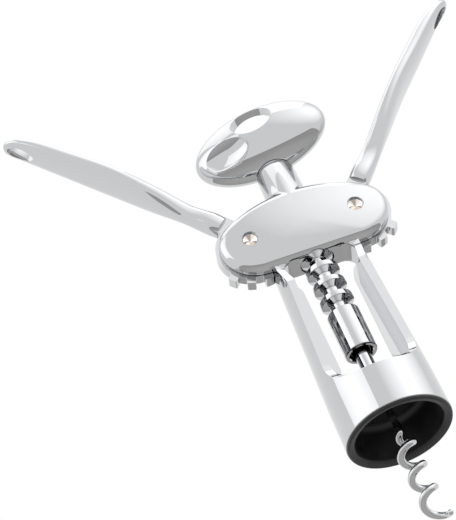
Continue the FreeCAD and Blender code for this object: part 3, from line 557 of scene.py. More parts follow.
# ---- frame casting
@dataclass
class Foot:
    """Bell ring and two legs with their flat ribs."""

    rim: float = 18.5
    rim_height: float = 1.0
    ring: float = 18.2
    ring_height: float = 16.9
    ring_wall: float = 1.55
    rim_round: float = 0.4
    shelf_drop: float = 0.5
    trim: Point = (30.0, 90.0)  # how far out and up the cut between the legs goes
    edge: float = 0.42
    leg_top: float = 15.5
    leg_top_height: float = 80.0
    leg_wall: float = 2.1
    strip: float = 8.3
    yoke_depth: float = 5.1
    neck_start: float = 65.0
    neck_end: float = 73.0
    window: float = 12.5
    rib_half: float = 1.0
    rib_inner: float = 8.9
    rib_bottom: float = 28.0
    rib_top: float = 69.0
    rib_shoulder: float = 6.0
    rib_corner: float = 2.0
    rib_lap: float = 0.2

    def radius_at(self, height: float) -> float:
        """Outer radius of a leg at a height."""
        share = (height - self.ring_height) / (self.leg_top_height - self.ring_height)
        return self.ring + (self.leg_top - self.ring) * share

    def shell(self) -> Piece:
        """Turn the bell and trim it to its two strips.

        Returns:
            The shell with its legs.
        """
        inner = self.rim - self.ring_wall
        shelf = self.ring_height - self.shelf_drop
        stations = [(inner, self.rim_height)]
        ease = self.rim_round
        stations += arc((self.rim - ease, self.rim_height + ease), ease, -90, 0, 4)
        stations += [(self.ring, self.ring_height)]
        rows = 12
        for i in range(1, rows + 1):
            height = self.ring_height + (self.leg_top_height - self.ring_height) * i / rows
            stations.append((self.radius_at(height), height))
        for i in range(rows, 0, -1):
            height = shelf + (self.leg_top_height - shelf) * i / rows
            stations.append((self.radius_at(height) - self.leg_wall, height))
        stations += [(self.ring - self.leg_wall, shelf), (inner, shelf)]
        body = turned("foot", stations, 256, ring=True)
        out, over = self.trim
        for side in (1.0, -1.0):
            middle = (self.strip + self.window, self.ring_height + self.window)
            corner = arc(middle, self.window, 180, 270, 16)
            outline = [(a * side, b) for a, b in corner]
            outline += [(out * side, self.ring_height), (out * side, over), (self.yoke_depth * side, over)]
            outline += [(self.yoke_depth * side, self.neck_end), (self.strip * side, self.neck_start)]
            combine(body, [prism("trim", outline, -REACH, REACH, Along.X)], "DIFFERENCE")
        return body

    def rib(self, side: float) -> Piece:
        """Flat rib inside one leg.

        Args:
            side: +1 on the right, -1 on the left.

        Returns:
            The rib.
        """
        low = self.radius_at(self.rib_bottom) - self.leg_wall / 2
        high = self.radius_at(self.rib_top) - self.leg_wall / 2
        corner = arc((self.rib_inner + self.rib_corner, self.rib_bottom + self.rib_corner),
                     self.rib_corner, 270, 180, 6)
        shoulder = arc((self.rib_inner + self.rib_shoulder, self.rib_top - self.rib_shoulder),
                       self.rib_shoulder, 180, 105, 10)
        outline = [(low, self.rib_bottom)] + corner + shoulder + [(high, self.rib_top + self.rib_lap)]
        return prism("rib", [(a * side, b) for a, b in outline], -self.rib_half, self.rib_half, Along.Y)

    def build(self) -> Piece:
        """Put the bell, the legs and the ribs together.

        Returns:
            The finished foot.
        """
        body = self.shell()
        combine(body, [self.rib(1.0), self.rib(-1.0)], "UNION")
        slots = [drum("slot", side.pivot(), SLOT_RADIUS, SLOT_HALF * 2, 128) for side in Side]
        combine(body, slots, "DIFFERENCE")
        tidy(body)
        return soften(body, self.edge, angle=35, segments=4, smooth=35)


@dataclass
class Head:
    """Crowned front plate, smaller back plate, yoke and neck, with the slots of the gears."""

    half_width: float = 29.8
    end_radius: float = 9.5
    corner_radius: float = 12.8
    top_radius: float = 49.0
    face: float = 7.6
    crown: Point = (320.0, 175.0)  # radii of the front face, across and upright
    crown_middle: float = 88.0
    edge: Point = (2.6, 2.2)  # reach over the face, depth
    edge_floor: float = 0.1
    back_face: float = 7.2
    back_radius: float = 8.5
    back_edge: Point = (1.2, 1.2)
    yoke_depth: float = 5.1
    yoke_half: float = 14.2
    arch_half: float = 13.0
    arch_corner: float = 4.5
    collar: float = 7.2
    collar_top: float = 6.75
    collar_start: float = 98.0
    collar_height: float = 115.3
    collar_edge: Point = (0.15, 0.5)
    bore: float = 6.05
    bore_ends: Point = (60.0, 130.0)
    pin_hole: float = 2.32
    seat: float = 2.9
    seat_floor: float = 6.3
    seat_cut: float = 10.0
    grain: float = 0.36
    rounds: int = 10

    def outline(self, start: Sequence[Point], end: Point, radius: float, first: float,
                steps: int) -> List[Point]:
        """Outline of a plate, closed over the top and mirrored to the left.

        Args:
            start: its points on the lower right.
            end: middle of its outer corner.
            radius: radius of that corner.
            first: angle at which that corner starts.
            steps: number of its chords.

        Returns:
            Its points.
        """
        reach = self.top_radius - radius
        top = (0.0, end[1] - math.sqrt(reach ** 2 - end[0] ** 2))
        lean = math.degrees(math.atan2(end[1] - top[1], end[0]))
        right = list(start) + arc(end, radius, first, lean, steps)
        crown = arc(top, self.top_radius, lean, 180 - lean, 64)[1:-1]
        return right + crown + [(-a, b) for a, b in reversed(right)]

    def front(self, x: float, z: float) -> float:
        """Depth of the crowned front face at a place."""
        return self.face - x ** 2 / (2 * self.crown[0]) - (z - self.crown_middle) ** 2 / (2 * self.crown[1])

    def plate(self, name: str, outline: Sequence[Point], side: float, face: Callable[[float, float], float],
              edge: Point) -> Piece:
        """One plate of the head, drawn from its inner face over the rounded edge to its outer face.

        Args:
            name: name of the piece.
            outline: its outline.
            side: -1 for the front plate, +1 for the back plate.
            face: depth of the outer face at a place.
            edge: how far the rounding reaches over the face, and how deep it is.

        Returns:
            The plate.
        """
        count = len(outline)
        inward = []
        for i in range(count):
            run = Vector(outline[(i + 1) % count]) - Vector(outline[i - 1])
            inward.append(Vector((-run.y, run.x)).normalized())
        rows = [[Vector((x, side * SLOT_HALF, z)) for x, z in outline]]
        for step in range(11):
            turn = math.pi / 2 * step / 10
            row = []
            for (x, z), way in zip(outline, inward):
                x += way.x * edge[0] * (1 - math.cos(turn))
                z += way.y * edge[0] * (1 - math.cos(turn))
                deep = max(face(x, z) - edge[1] * (1 - math.sin(turn)), SLOT_HALF + self.edge_floor)
                row.append(Vector((x, side * deep, z)))
            rows.append(row)
        rim = rows[-1]
        for share in (0.86, 0.72, 0.58, 0.44, 0.3, 0.16, 0.05):
            row = []
            for place in rim:
                x = place.x * share
                z = self.crown_middle + (place.z - self.crown_middle) * share
                row.append(Vector((x, side * face(x, z), z)))
            rows.append(row)
        return skin(name, rows)

    def build(self) -> Piece:
        """Cast the head and cut its bore, slots and pin seats.

        Returns:
            The finished head.
        """
        bottom = PIVOT[1] - self.corner_radius
        spring = bottom - self.arch_corner
        right = arc((self.arch_half - self.arch_corner, spring), self.arch_corner, 90, 0, 8)
        yoke = [(self.yoke_half, PIVOT[1]), (-self.yoke_half, PIVOT[1]), (-self.yoke_half, spring)]
        yoke += [(-a, b) for a, b in reversed(right)] + right + [(self.yoke_half, spring)]
        near, far = self.collar_edge
        neck = turned("neck", [(0, PIVOT[1]), (self.collar, PIVOT[1]), (self.collar, self.collar_start),
                               (self.collar_top, self.collar_height - far),
                               (self.collar_top - near, self.collar_height - near),
                               (self.collar_top - far, self.collar_height), (0, self.collar_height)], 128)
        corner = arc((self.half_width - self.corner_radius, PIVOT[1]), self.corner_radius, -90, 0, 32)[:-1]
        end = (self.half_width - self.end_radius, PIVOT[1])
        broad = self.outline(corner, end, self.end_radius, 0, 20)
        narrow = self.outline([], PIVOT, self.back_radius, -90, 40)
        parts = [
            self.plate("front", broad, -1.0, self.front, self.edge),
            self.plate("back", narrow, 1.0, lambda x, z: self.back_face, self.back_edge),
            prism("yoke", yoke, -self.yoke_depth, self.yoke_depth, Along.Y),
            neck,
        ]
        body = cast("head", parts, self.grain, self.rounds)
        low, high = self.bore_ends
        tools = [turned("bore", [(0, low), (self.bore, low), (self.bore, high), (0, high)], 128)]
        for side in Side:
            at = side.pivot()
            tools.append(drum("slot", at, SLOT_RADIUS, SLOT_HALF * 2, 128))
            tools.append(drum("hole", at, self.pin_hole, REACH, 64))
            middle = (at[0], -self.seat_floor - self.seat_cut / 2, at[2])
            tools.append(drum("seat", middle, self.seat, self.seat_cut, 64))
        combine(body, tools, "DIFFERENCE")
        tidy(body)
        take(body)
        bpy.ops.object.shade_smooth_by_angle(angle=math.radians(40))
        return body


# ---- liner
@dataclass
class Liner:
    """Black cup moulded into the bell."""

    mouth: float = 15.3
    depth: float = 14.4
    lip: float = 18.3
    outer: float = 16.9
    top: float = 16.4
    hole: float = 5.35
    lip_round: float = 0.9
    lip_height: float = 1.0
    mouth_round: float = 1.4
    mouth_height: float = 1.7
    floor_round: float = 2.6

    def build(self) -> Piece:
        """Turn the liner with a rolled lip and a funnel that leads into the mouth.

        Returns:
            The liner.
        """
        rounding = self.floor_round
        stations = arc((self.lip - self.lip_round, self.lip_round), self.lip_round, -90, 0, 8)
        stations += [(self.lip, self.lip_height), (self.outer, self.lip_height), (self.outer, self.top),
                     (self.hole, self.top), (self.hole, self.depth), (self.mouth - rounding, self.depth)]
        stations += arc((self.mouth - rounding, self.depth - rounding), rounding, 90, 0, 12)[1:]
        stations += arc((self.mouth + self.mouth_round, self.mouth_height), self.mouth_round, 180, 250, 10)
        return soften(turned("liner_cup", stations, 192, ring=True), 0.0, smooth=40)


# ---- levers
@dataclass
class Lever:
    """Gear sector and blade of one lever."""

    side: Side
    tilt: float = 40.6
    length: float = 98.9
    start: float = 13.4
    teeth: int = 14
    pitch: float = 14.4831
    tip: float = 0.32
    root: float = 2.08
    hub: float = 12.0
    half: float = 2.0
    pressure: float = 20.0
    backlash: float = 0.3
    phase: float = 6.53
    gear_ends: Tuple[int, int] = (-1, 5)  # first and last tooth, from the one in mesh
    shoulder: float = 0.05  # radians from the last tooth to the hub
    hole: float = 2.35
    web: Tuple[float, float, float, float] = (-0.7, -7.3, 3.0, 1.2)  # near side, far side, inset, lap
    eye: Triple = (92.2, 5.0, 2.75)  # distance from the pin, half length, half width
    eye_offset: float = -2.8
    eye_reach: float = 8.0
    fullness: float = 0.75
    closing: Point = (0.93, 0.0702)  # share at which the tip starts to close, and its run
    tip_share: Point = (0.25, 0.35)  # what is left of width and thickness at the end
    edge: float = 0.35
    # share of the length, width, thickness, offset
    blade: Sequence[Tuple[float, float, float, float]] = (
        (0.00, 6.6, 6.9, -3.9), (0.04, 7.4, 7.4, -4.0), (0.15, 5.9, 6.5, -3.8), (0.31, 11.5, 6.1, -4.3),
        (0.50, 14.6, 5.5, -4.7), (0.71, 12.8, 5.8, -4.2), (0.87, 11.2, 5.2, -3.5), (0.96, 8.2, 3.6, -2.3),
        (1.00, 2.6, 1.4, -1.2))

    def axes(self) -> Tuple[Vector, Vector, Vector]:
        """Pivot, direction to the tip and direction across the blade.

        Returns:
            The three vectors, in mm.
        """
        sign = self.side.value
        lean = math.radians(self.tilt)
        pivot = Vector(self.side.pivot())
        along = Vector((sign * math.sin(lean), 0, math.cos(lean)))
        across = Vector((sign * math.cos(lean), 0, -math.sin(lean)))
        return pivot, along, across

    def tooth_outline(self) -> List[Point]:
        """Outline of the gear sector in XZ.

        Returns:
            Its points.
        """
        step = 2 * math.pi / self.teeth
        base = self.pitch * math.cos(math.radians(self.pressure))
        tip = self.pitch + self.tip
        root = self.pitch - self.root

        def involute(radius: float) -> float:
            """Polar angle of the involute at a radius."""
            grown = math.sqrt(max((radius / base) ** 2 - 1, 0.0))
            return grown - math.atan(grown)

        half = (math.pi / self.teeth - self.backlash / self.pitch) / 2 + involute(self.pitch)
        sign = self.side.value
        found = []

        def at(radius: float, angle: float) -> None:
            """Add a point of the outline."""
            found.append((sign * (PIVOT[0] - radius * math.cos(angle)), PIVOT[1] - radius * math.sin(angle)))

        phase = math.radians(self.phase)
        first, last = self.gear_ends
        flank = [max(root, base) + (tip - max(root, base)) * i / 5 for i in range(6)]
        for k in range(first, last + 1):
            middle = phase + step * k
            at(root, middle - half)
            for radius in flank:
                at(radius, middle - half + involute(radius))
            for radius in reversed(flank):
                at(radius, middle + half - involute(radius))
            at(root, middle + half)
            if k < last:
                for i in range(1, 5):
                    at(root, middle + half + (step - 2 * half) * i / 5)
        start = phase + last * step + half + self.shoulder
        stop = phase + first * step - half + 2 * math.pi - self.shoulder
        for i in range(37):
            at(self.hub, start + (stop - start) * i / 36)
        return found

    def sector(self, name: str) -> Piece:
        """Draw out the gear sector, with the corners of its outline cut twice.

        Args:
            name: name of the piece.

        Returns:
            The sector.
        """
        outline = [Vector(place) for place in self.tooth_outline()]
        for _ in range(2):
            cut = []
            for i, place in enumerate(outline):
                after = outline[(i + 1) % len(outline)]
                cut += [place * 0.75 + after * 0.25, place * 0.25 + after * 0.75]
            outline = cut
        return prism(name, [(place.x, place.y) for place in outline], -self.half, self.half, Along.Y)

    def section(self, share: float) -> Triple:
        """Width, thickness and offset of the blade at a share of its length.

        Args:
            share: 0 at the gear, 1 at the tip.

        Returns:
            The three sizes, joined smoothly between the stations.
        """
        rows = self.blade
        i = max(k for k in range(len(rows) - 1) if rows[k][0] <= share)
        a, b = rows[i], rows[i + 1]
        before = rows[max(i - 1, 0)]
        after = rows[min(i + 2, len(rows) - 1)]
        t = (share - a[0]) / (b[0] - a[0])
        found = []
        for j in (1, 2, 3):
            low = (b[j] - before[j]) / max(b[0] - before[0], 1e-6) * (b[0] - a[0])
            high = (after[j] - a[j]) / max(after[0] - a[0], 1e-6) * (b[0] - a[0])
            found.append((2 * t ** 3 - 3 * t ** 2 + 1) * a[j] + (t ** 3 - 2 * t ** 2 + t) * low
                         + (3 * t ** 2 - 2 * t ** 3) * b[j] + (t ** 3 - t ** 2) * high)
        return found[0], found[1], found[2]

    def loft(self) -> Piece:
        """Extrude the blade station by station from its first section.

        Returns:
            The blade.
        """
        pivot, along, across = self.axes()
        shares = [i / 44 for i in range(43)] + [0.975, 0.988, 0.996, 1.0]
        angles = [2 * math.pi * i / 48 for i in range(48)]
        begin, run = self.closing
        wide, deep = self.tip_share
        rows = []
        for share in shares:
            width, thick, offset = self.section(share)
            if share > begin:
                close = math.sqrt(max(1 - ((share - begin) / run) ** 2, 0.0))
                full = self.section(begin)
                width = full[0] * (wide + (1 - wide) * close) if close > 0.05 else full[0] * wide
                thick = full[1] * (deep + (1 - deep) * close)
            middle = pivot + along * (self.start + share * (self.length - self.start)) + across * offset
            row = []
            for angle in angles:
                c, s = math.cos(angle), math.sin(angle)
                out = Vector((0, width / 2 * math.copysign(abs(c) ** self.fullness, c), 0))
                out += across * (thick / 2 * math.copysign(abs(s) ** self.fullness, s))
                row.append(middle + out)
            rows.append(row)
        return skin("blade", rows)

    def build(self) -> Piece:
        """Put the lever together.

        Returns:
            The finished lever.
        """
        pivot, along, across = self.axes()
        gear = self.sector("lever_" + self.side.name.lower())
        web = []
        near, far, inset, lap = self.web
        for u, v in ((0.0, near), (self.start + lap, near), (self.start + lap, far), (inset, far)):
            place = pivot + along * u + across * v
            web.append((place.x, place.z))
        combine(gear, [prism("web", web, -self.half, self.half, Along.Y)], "UNION")
        blade = self.loft()
        eye_at = pivot + along * self.eye[0] + across * self.eye_offset
        outline = oval((0.0, 0.0), (self.eye[2], self.eye[1]), 48)
        cutter = prism("eye", outline, -self.eye_reach, self.eye_reach, Along.Z)
        turn = Matrix((Vector((0, 1, 0)), along, across)).transposed().to_4x4()
        cutter.data.transform(Matrix.Translation(eye_at * MM) @ turn)
        tidy(cutter)
        combine(blade, [cutter], "DIFFERENCE")
        soften(blade, self.edge, angle=40, segments=3, smooth=50)
        combine(gear, [blade], "UNION")
        combine(gear, [drum("hole", (pivot.x, 0, pivot.z), self.hole, REACH / 2, 48)], "DIFFERENCE")
        take(gear)
        bpy.ops.object.shade_smooth_by_angle(angle=math.radians(35))
        return gear


# ---- pins
@dataclass
class Pin:
    """Riveted pivot pin with a cone in its face."""

    side: Side
    radius: float = 2.28
    face: float = -6.3
    back: float = 6.9
    dimple: Point = (2.4, 1.45)  # radius, depth
    rivet: Point = (2.84, 0.8)  # radius, thickness
    edge: float = 0.2

    def build(self) -> Piece:
        """Turn the pin and lay it along Y.

        Returns:
            The pin.
        """
        cone, depth = self.dimple
        stations = [(0, self.face + depth), (cone, self.face)]
        head, thick = self.rivet
        ease = self.edge
        stations += arc((head - ease, self.face + ease), ease, -90, 0, 5)
        stations += [(head, self.face + thick), (self.radius, self.face + thick),
                     (self.radius, self.back - ease), (self.radius - ease, self.back), (0, self.back)]
        body = turned("pin_" + self.side.name.lower(), stations, 64)
        place = Matrix.Translation(Vector(self.side.pivot()) * MM)
        body.data.transform(place @ Matrix.Rotation(math.radians(-90), 4, "X"))
        tidy(body)
        return soften(body, 0.0, smooth=30)


# ---- rack, spindle and worm
@dataclass
class Rack:
    """Sleeve, rings and guide tube of the round rack."""

    ring: float = 5.8
    root: float = 3.15
    pitch: float = 6.5
    first: float = 56.4
    count: int = 7
    pitch_radius: float = 4.417
    play: float = 0.06
    pressure: float = 20.0
    fillet: float = 0.3
    corner: float = 0.28
    sleeve: float = 5.65
    bottom: float = 34.0
    pocket: Point = (4.1, 6.0)  # radius, depth
    top: float = 115.3
    bore: float = 2.15
    pocket_edge: float = 0.3
    sleeve_round: Point = (0.45, 0.5)  # at the bottom, at the top
    top_round: float = 0.4

    def build(self) -> Piece:
        """Turn the rack with rounded rings.

        Returns:
            The rack.
        """
        slope = math.tan(math.radians(self.pressure))
        half = self.pitch / 4 - self.play
        tip = half - (self.ring - self.pitch_radius) * slope
        foot = half + (self.pitch_radius - self.root) * slope
        end = self.first - self.pitch
        lip = end + tip + (self.ring - self.sleeve) * slope
        inner, outer = self.root + self.fillet, self.ring - self.corner
        stations = [(self.bore, self.top), (self.bore, self.bottom + self.pocket[1]),
                    (self.pocket[0], self.bottom + self.pocket[1]),
                    (self.pocket[0], self.bottom + self.pocket_edge),
                    (self.pocket[0] + self.pocket_edge, self.bottom)]
        low, high = self.sleeve_round
        stations += arc((self.sleeve - low, self.bottom + low), low, -90, 0, 5)
        stations += arc((self.sleeve - high, lip - high), high, 0, 70, 5)
        stations += arc((inner, end + foot + self.fillet), self.fillet, 250, 180, 4)
        for k in range(self.count):
            middle = self.first + self.pitch * k
            stations += arc((inner, middle - foot - self.fillet), self.fillet, 180, 110, 4)
            stations += arc((outer, middle - tip + self.corner), self.corner, -70, 0, 4)
            if k < self.count - 1:
                stations += arc((outer, middle + tip - self.corner), self.corner, 0, 70, 4)
                stations += arc((inner, middle + foot + self.fillet), self.fillet, 250, 180, 4)
        stations += arc((self.ring - self.top_round, self.top - self.top_round), self.top_round, 0, 90, 5)
        return soften(turned("rack_body", stations, 128, ring=True), 0.0, smooth=34)


@dataclass
class Spindle:
    """Shaft and shank that carry the worm."""

    shaft: float = 2.1
    shank: float = 2.7
    bottom: float = 12.0
    shoulder: float = 39.9
    end: float = 124.65
    roll: float = 0.9
    shoulder_edge: float = 0.3
    end_edge: float = 0.4

    def build(self) -> Piece:
        """Turn the spindle with a rolled lower end.

        Returns:
            The spindle.
        """
        ease, tip = self.shoulder_edge, self.end_edge
        stations = [(0, self.bottom), (self.shank - self.roll, self.bottom)]
        stations += arc((self.shank - self.roll, self.bottom + self.roll), self.roll, -80, 0, 6)
        stations += [(self.shank, self.shoulder - ease), (self.shank - ease, self.shoulder),
                     (self.shaft, self.shoulder), (self.shaft, self.end - tip), (self.shaft - tip, self.end),
                     (0, self.end)]
        return soften(turned("spindle_body", stations, 96), 0.0, smooth=34)


@dataclass
class Worm:
    """Wire worm: straight below the shank, right-hand coil, end drawn down and outwards."""

    wire: float = 1.3
    outer: float = 4.27
    pitch: float = 9.21
    top: float = 12.0
    bend: float = 2.5
    full: float = -4.2
    tip: float = -31.9
    phase: float = -12.1
    shift: Point = (-0.5, 0.3)
    draw: float = 1.6
    flare: float = 0.9
    draw_run: float = 6.0
    taper: float = 3.0
    tip_radius: float = 1.0

    @staticmethod
    def swing(share: float) -> float:
        """Smooth step from 0 to 1."""
        share = min(max(share, 0.0), 1.0)
        return share ** 3 * (10 - 15 * share + 6 * share ** 2)

    def centre(self, level: float) -> Vector:
        """Middle of the wire.

        Args:
            level: height on the even coil, in mm.

        Returns:
            The middle, in mm.
        """
        out = self.swing((self.bend - level) / (self.bend - self.full))
        drawn = self.swing((self.tip + self.draw_run - level) / self.draw_run)
        radius = (self.outer - self.wire) * out + self.flare * drawn
        angle = math.radians(self.phase) + 2 * math.pi * (level - self.tip) / self.pitch
        return Vector((radius * math.cos(angle) + self.shift[0] * out,
                       radius * math.sin(angle) + self.shift[1] * out, level - self.draw * drawn))

    def build(self) -> Piece:
        """Bend the wire as a bevelled curve, make it a mesh and round its point.

        Returns:
            The worm.
        """
        clear_selection()
        bpy.ops.curve.primitive_nurbs_path_add(location=(0, 0, 0))
        obj = bpy.context.object
        obj.name = "worm_wire"
        curve = obj.data
        curve.splines.clear()
        steps = 150
        levels = [self.top + (self.tip - self.top) * i / steps for i in range(steps + 1)]
        places = [(self.centre(level), self.radius_at(level)) for level in levels]
        run = (places[-1][0] - places[-2][0]).normalized()
        for turn in (20, 40, 60, 75, 86):
            lean = math.radians(turn)
            places.append((places[steps][0] + run * self.tip_radius * math.sin(lean),
                           self.tip_radius * math.cos(lean)))
        spline = curve.splines.new("NURBS")
        spline.points.add(len(places) - 1)
        for point, (place, radius) in zip(spline.points, places):
            point.co = (*(place * MM), 1.0)
            point.radius = radius / self.wire
        put(spline, order_u=4, use_endpoint_u=True, resolution_u=4)
        put(curve, bevel_depth=self.wire * MM, bevel_resolution=8, use_fill_caps=True)
        take(obj)
        bpy.ops.object.convert(target="MESH")
        obj = bpy.context.object
        tidy(obj)
        return soften(obj, 0.0, smooth=60)

    def radius_at(self, level: float) -> float:
        """Radius of the wire at a level."""
        left = min((level - self.tip) / self.taper, 1.0)
        return self.tip_radius + (self.wire - self.tip_radius) * left


# ---- handle
@dataclass
class Handle:
    """Flat ellipsoid with an oval window, a mirror dish and a hollow back."""

    half: Triple = (24.06, 9.0, 13.62)
    middle: float = 129.27
    turn: float = -11.7
    window: Tuple[float, float, float, float] = (0.2, 5.2, 7.6, 5.65)  # X, Z, half length, half height
    dish: Tuple[float, float, float, float] = (-12.2, -3.4, 9.2, 6.0)  # as the window
    dish_depth: float = 2.4
    dish_ball: float = 1.5  # half thickness of the ball that cuts it, over its depth
    dish_lift: float = 0.25  # height of that ball above the face, over its depth
    scoop: Triple = (10.5, 9.5, 12.2)  # Y, Z, radius
    edge: float = 0.3

    def surface(self, x: float, z: float) -> Tuple[Vector, Vector]:
        """Point and normal on the front.

        Args:
            x: place along the handle.
            z: place above its middle.

        Returns:
            Both vectors, in mm.
        """
        a, b, c = self.half
        y = -b * math.sqrt(1 - (x / a) ** 2 - (z / c) ** 2)
        return Vector((x, y, z)), Vector((x / a ** 2, y / b ** 2, z / c ** 2)).normalized()

    def ball(self, name: str, half: Sequence[float], segments: int, rings: int) -> Piece:
        """Ellipsoid about the origin.

        Args:
            name: name of the piece.
            half: its half axes in mm.
            segments: sides about Z.
            rings: rows from pole to pole.

        Returns:
            The ellipsoid.
        """
        clear_selection()
        bpy.ops.mesh.primitive_uv_sphere_add(segments=segments, ring_count=rings, radius=MM)
        obj = bpy.context.object
        obj.name = name
        obj.scale = half
        bpy.ops.object.transform_apply(location=True, rotation=True, scale=True)
        return obj

    def build(self) -> Piece:
        """Cut the window, the hollow back and the dish and set the handle on the spindle.

        Returns:
            The handle.
        """
        body = self.ball("handle_body", self.half, 192, 96)
        x, z, half_length, half_height = self.window
        window = prism("window", oval((x, z), (half_length, half_height), 96), -REACH / 2, REACH / 2, Along.Y)
        x, z, half_length, half_height = self.dish
        base, normal = self.surface(x, z)
        flat = Vector((-normal.y, normal.x, 0)).normalized()
        dish = self.ball("dish", (half_length, half_height, self.dish_depth * self.dish_ball), 128, 64)
        turn = Matrix((flat, normal.cross(flat), normal)).transposed().to_4x4()
        middle = base + normal * self.dish_depth * self.dish_lift
        dish.data.transform(Matrix.Translation(middle * MM) @ turn)
        tidy(dish)
        y, z, radius = self.scoop
        scoop = prism("scoop", arc((y, z), radius, 0, 360 * 191 / 192, 191), -REACH, REACH, Along.X)
        combine(body, [window, scoop, dish], "DIFFERENCE")
        soften(body, self.edge, angle=30, segments=3, smooth=45)
        place = Matrix.Translation(Vector((0, 0, self.middle)) * MM)
        body.data.transform(place @ Matrix.Rotation(math.radians(self.turn), 4, "Z"))
        return body


# ---- studio
@dataclass
class Viewpoint:
    """Long lens that looks up at the tool from its lower left."""

    azimuth: float = 10.6563
    elevation: float = 35.3133
    roll: float = -24.7801
    distance: float = 1000.0
    target: Triple = (0.0, 0.0, 60.0)
    offset: Point = (34.873, -11.267)
    lens: float = 208.63

    def build(self) -> None:
        """Set up the camera."""
        az, el, ro = (math.radians(v) for v in (self.azimuth, self.elevation, self.roll))
        look = Vector((math.sin(az) * math.cos(el), math.cos(az) * math.cos(el), math.sin(el)))
        level = Vector((math.cos(az), -math.sin(az), 0))
        above = level.cross(look)
        right = level * math.cos(ro) + above * math.sin(ro)
        up = above * math.cos(ro) - level * math.sin(ro)
        place = Vector(self.target) - right * self.offset[0] - up * self.offset[1] - look * self.distance
        bpy.ops.object.camera_add()
        camera = bpy.context.object
        camera.name = "camera"
        turn = Matrix((right, up, -look)).transposed().to_4x4()
        camera.matrix_world = Matrix.Translation(place * MM) @ turn
        put(camera.data, sensor_fit="VERTICAL", sensor_height=36.0, lens=self.lens, clip_start=0.01,
            clip_end=50.0)
        bpy.context.scene.camera = camera


@dataclass(frozen=True)
class SoftBox:
    """A large soft lamp that faces the tool, with its lengths in metres."""

    name: str
    azimuth: float
    elevation: float
    width: float
    height: float
    radiance: float
    half_spread: float = 55.0
    distance: float = 1.2
    aim: float = 0.06

    def build(self) -> None:
        """Hang the lamp in its direction, 0 degrees to the front and 90 to the right."""
        turn, rise = math.radians(self.azimuth), math.radians(self.elevation)
        away = Vector((math.sin(turn) * math.cos(rise), -math.cos(turn) * math.cos(rise), math.sin(rise)))
        middle = Vector((0, 0, self.aim))
        bpy.ops.object.light_add(type="AREA", location=middle + away * self.distance)
        lamp = bpy.context.object
        lamp.name = self.name
        half = math.radians(self.half_spread)
        beam = (math.tan(half) - half) / math.tan(half)
        put(lamp.data, shape="RECTANGLE", size=self.width, size_y=self.height, spread=2 * half,
            energy=self.radiance * math.pi * self.width * self.height * beam)
        lamp.rotation_euler = (-away).to_track_quat("-Z", "Y").to_euler()
        lamp.visible_camera = False


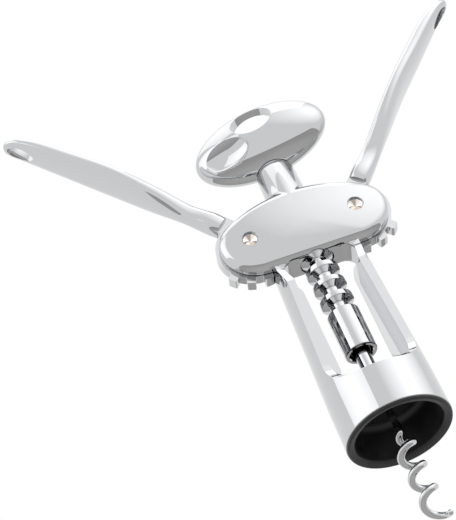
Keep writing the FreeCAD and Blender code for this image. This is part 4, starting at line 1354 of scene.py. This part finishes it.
@dataclass
class Studio:
    """White surroundings, a pale floor and three soft boxes."""

    floor_drop: float = 760.0
    floor_half: float = 2200.0
    floor_dark: Colour = (0.77, 0.765, 0.75)
    floor_light: Colour = (0.8, 0.795, 0.78)
    surroundings: float = 1.0
    fill: float = 0.55
    boxes: Sequence[SoftBox] = (
        SoftBox("left_box", -62.0, 35.0, 1.3, 0.9, 0.85),
        SoftBox("right_box", 52.0, 38.0, 2.2, 2.2, 0.95, 42.0),
        SoftBox("top_box", 0.0, 88.0, 1.2, 1.2, 0.8),
    )

    def world(self) -> None:
        """Surround the tool with white, seen alike by the camera, in metal and through glass."""
        world = bpy.data.worlds.new("studio")
        bpy.context.scene.world = world
        world.use_nodes = True
        nodes = Nodes(world.node_tree)
        path = nodes.add("ShaderNodeLightPath")
        mirrored = nodes.math("MAXIMUM", path.outputs["Is Glossy Ray"], path.outputs["Is Transmission Ray"])
        seen = nodes.math("MAXIMUM", path.outputs["Is Camera Ray"], mirrored)
        strength = nodes.math("MULTIPLY_ADD", seen, self.surroundings - self.fill)
        strength.node.inputs[2].default_value = self.fill
        ground = nodes.add("ShaderNodeBackground", Strength=strength)
        ground.inputs["Color"].default_value = (1.0, 1.0, 1.0, 1.0)
        nodes.add("ShaderNodeOutputWorld", Surface=ground.outputs[0])

    def floor(self) -> None:
        """Lay the pale floor far below the tool."""
        clear_selection()
        bpy.ops.mesh.primitive_plane_add(size=self.floor_half * 2 * MM,
                                         location=(0, 0, -self.floor_drop * MM))
        floor = bpy.context.object
        floor.name = "floor"
        bpy.ops.object.transform_apply(location=True, rotation=True, scale=True)
        material, nodes, place = new_material("pale_floor")
        cloud = nodes.add("ShaderNodeTexNoise", Vector=place, Scale=1.5, Detail=2.0)
        colour = nodes.ramp(cloud.outputs[0], [(0.3, self.floor_dark), (0.7, self.floor_light)])
        nodes.surface(Base_Color=colour, Roughness=0.8)
        floor.data.materials.append(material)

    def build(self) -> None:
        """Set the view transform, the world, the floor and the lamps."""
        bpy.context.scene.view_settings.view_transform = "Standard"
        self.world()
        self.floor()
        for box in self.boxes:
            box.build()


def main() -> None:
    """Build the studio and every sub-assembly in order."""
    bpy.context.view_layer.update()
    Viewpoint().build()
    Studio().build()
    cast_chrome = Chrome("cast_chrome", wave=0.02, wave_scale=60.0).make()
    crowned = Chrome("head_chrome", wave=0.02, wave_scale=60.0, crown=(2.3, 4.2)).make()
    polished = Chrome("polished_chrome").make()
    wire = Chrome("wire_chrome", roughness=0.03, wave=0.008, wave_scale=300.0).make()
    mount(Foot().build(), "frame", "frame_chrome", cast_chrome, "frame_casting")
    mount(Head().build(), "frame", "frame_chrome", crowned, "frame_casting")
    mount(Liner().build(), "frame", "liner_plastic", MouldedBlack("liner_black").make(), "bell_liner")
    for side, body in ((Side.RIGHT, "right_arm"), (Side.LEFT, "left_arm")):
        word = side.name.lower()
        mount(Lever(side).build(), body, "lever_chrome", polished, word + "_lever")
        # the pin's finish paints shade round its rim
        steel = TurnedSteel("pin_steel_" + word, side.pivot()).make()
        mount(Pin(side).build(), "frame", "pin_steel", steel, word + "_pivot_pin")
    mount(Rack().build(), "rack", "rack_chrome", polished, "rack_tube")
    mount(Spindle().build(), "spindle", "spindle_chrome", polished, "spindle_shaft")
    mount(Worm().build(), "spindle", "worm_chrome", wire, "worm")
    mount(Handle().build(), "spindle", "handle_chrome", polished, "turning_handle")


if __name__ == "__main__":
    main()
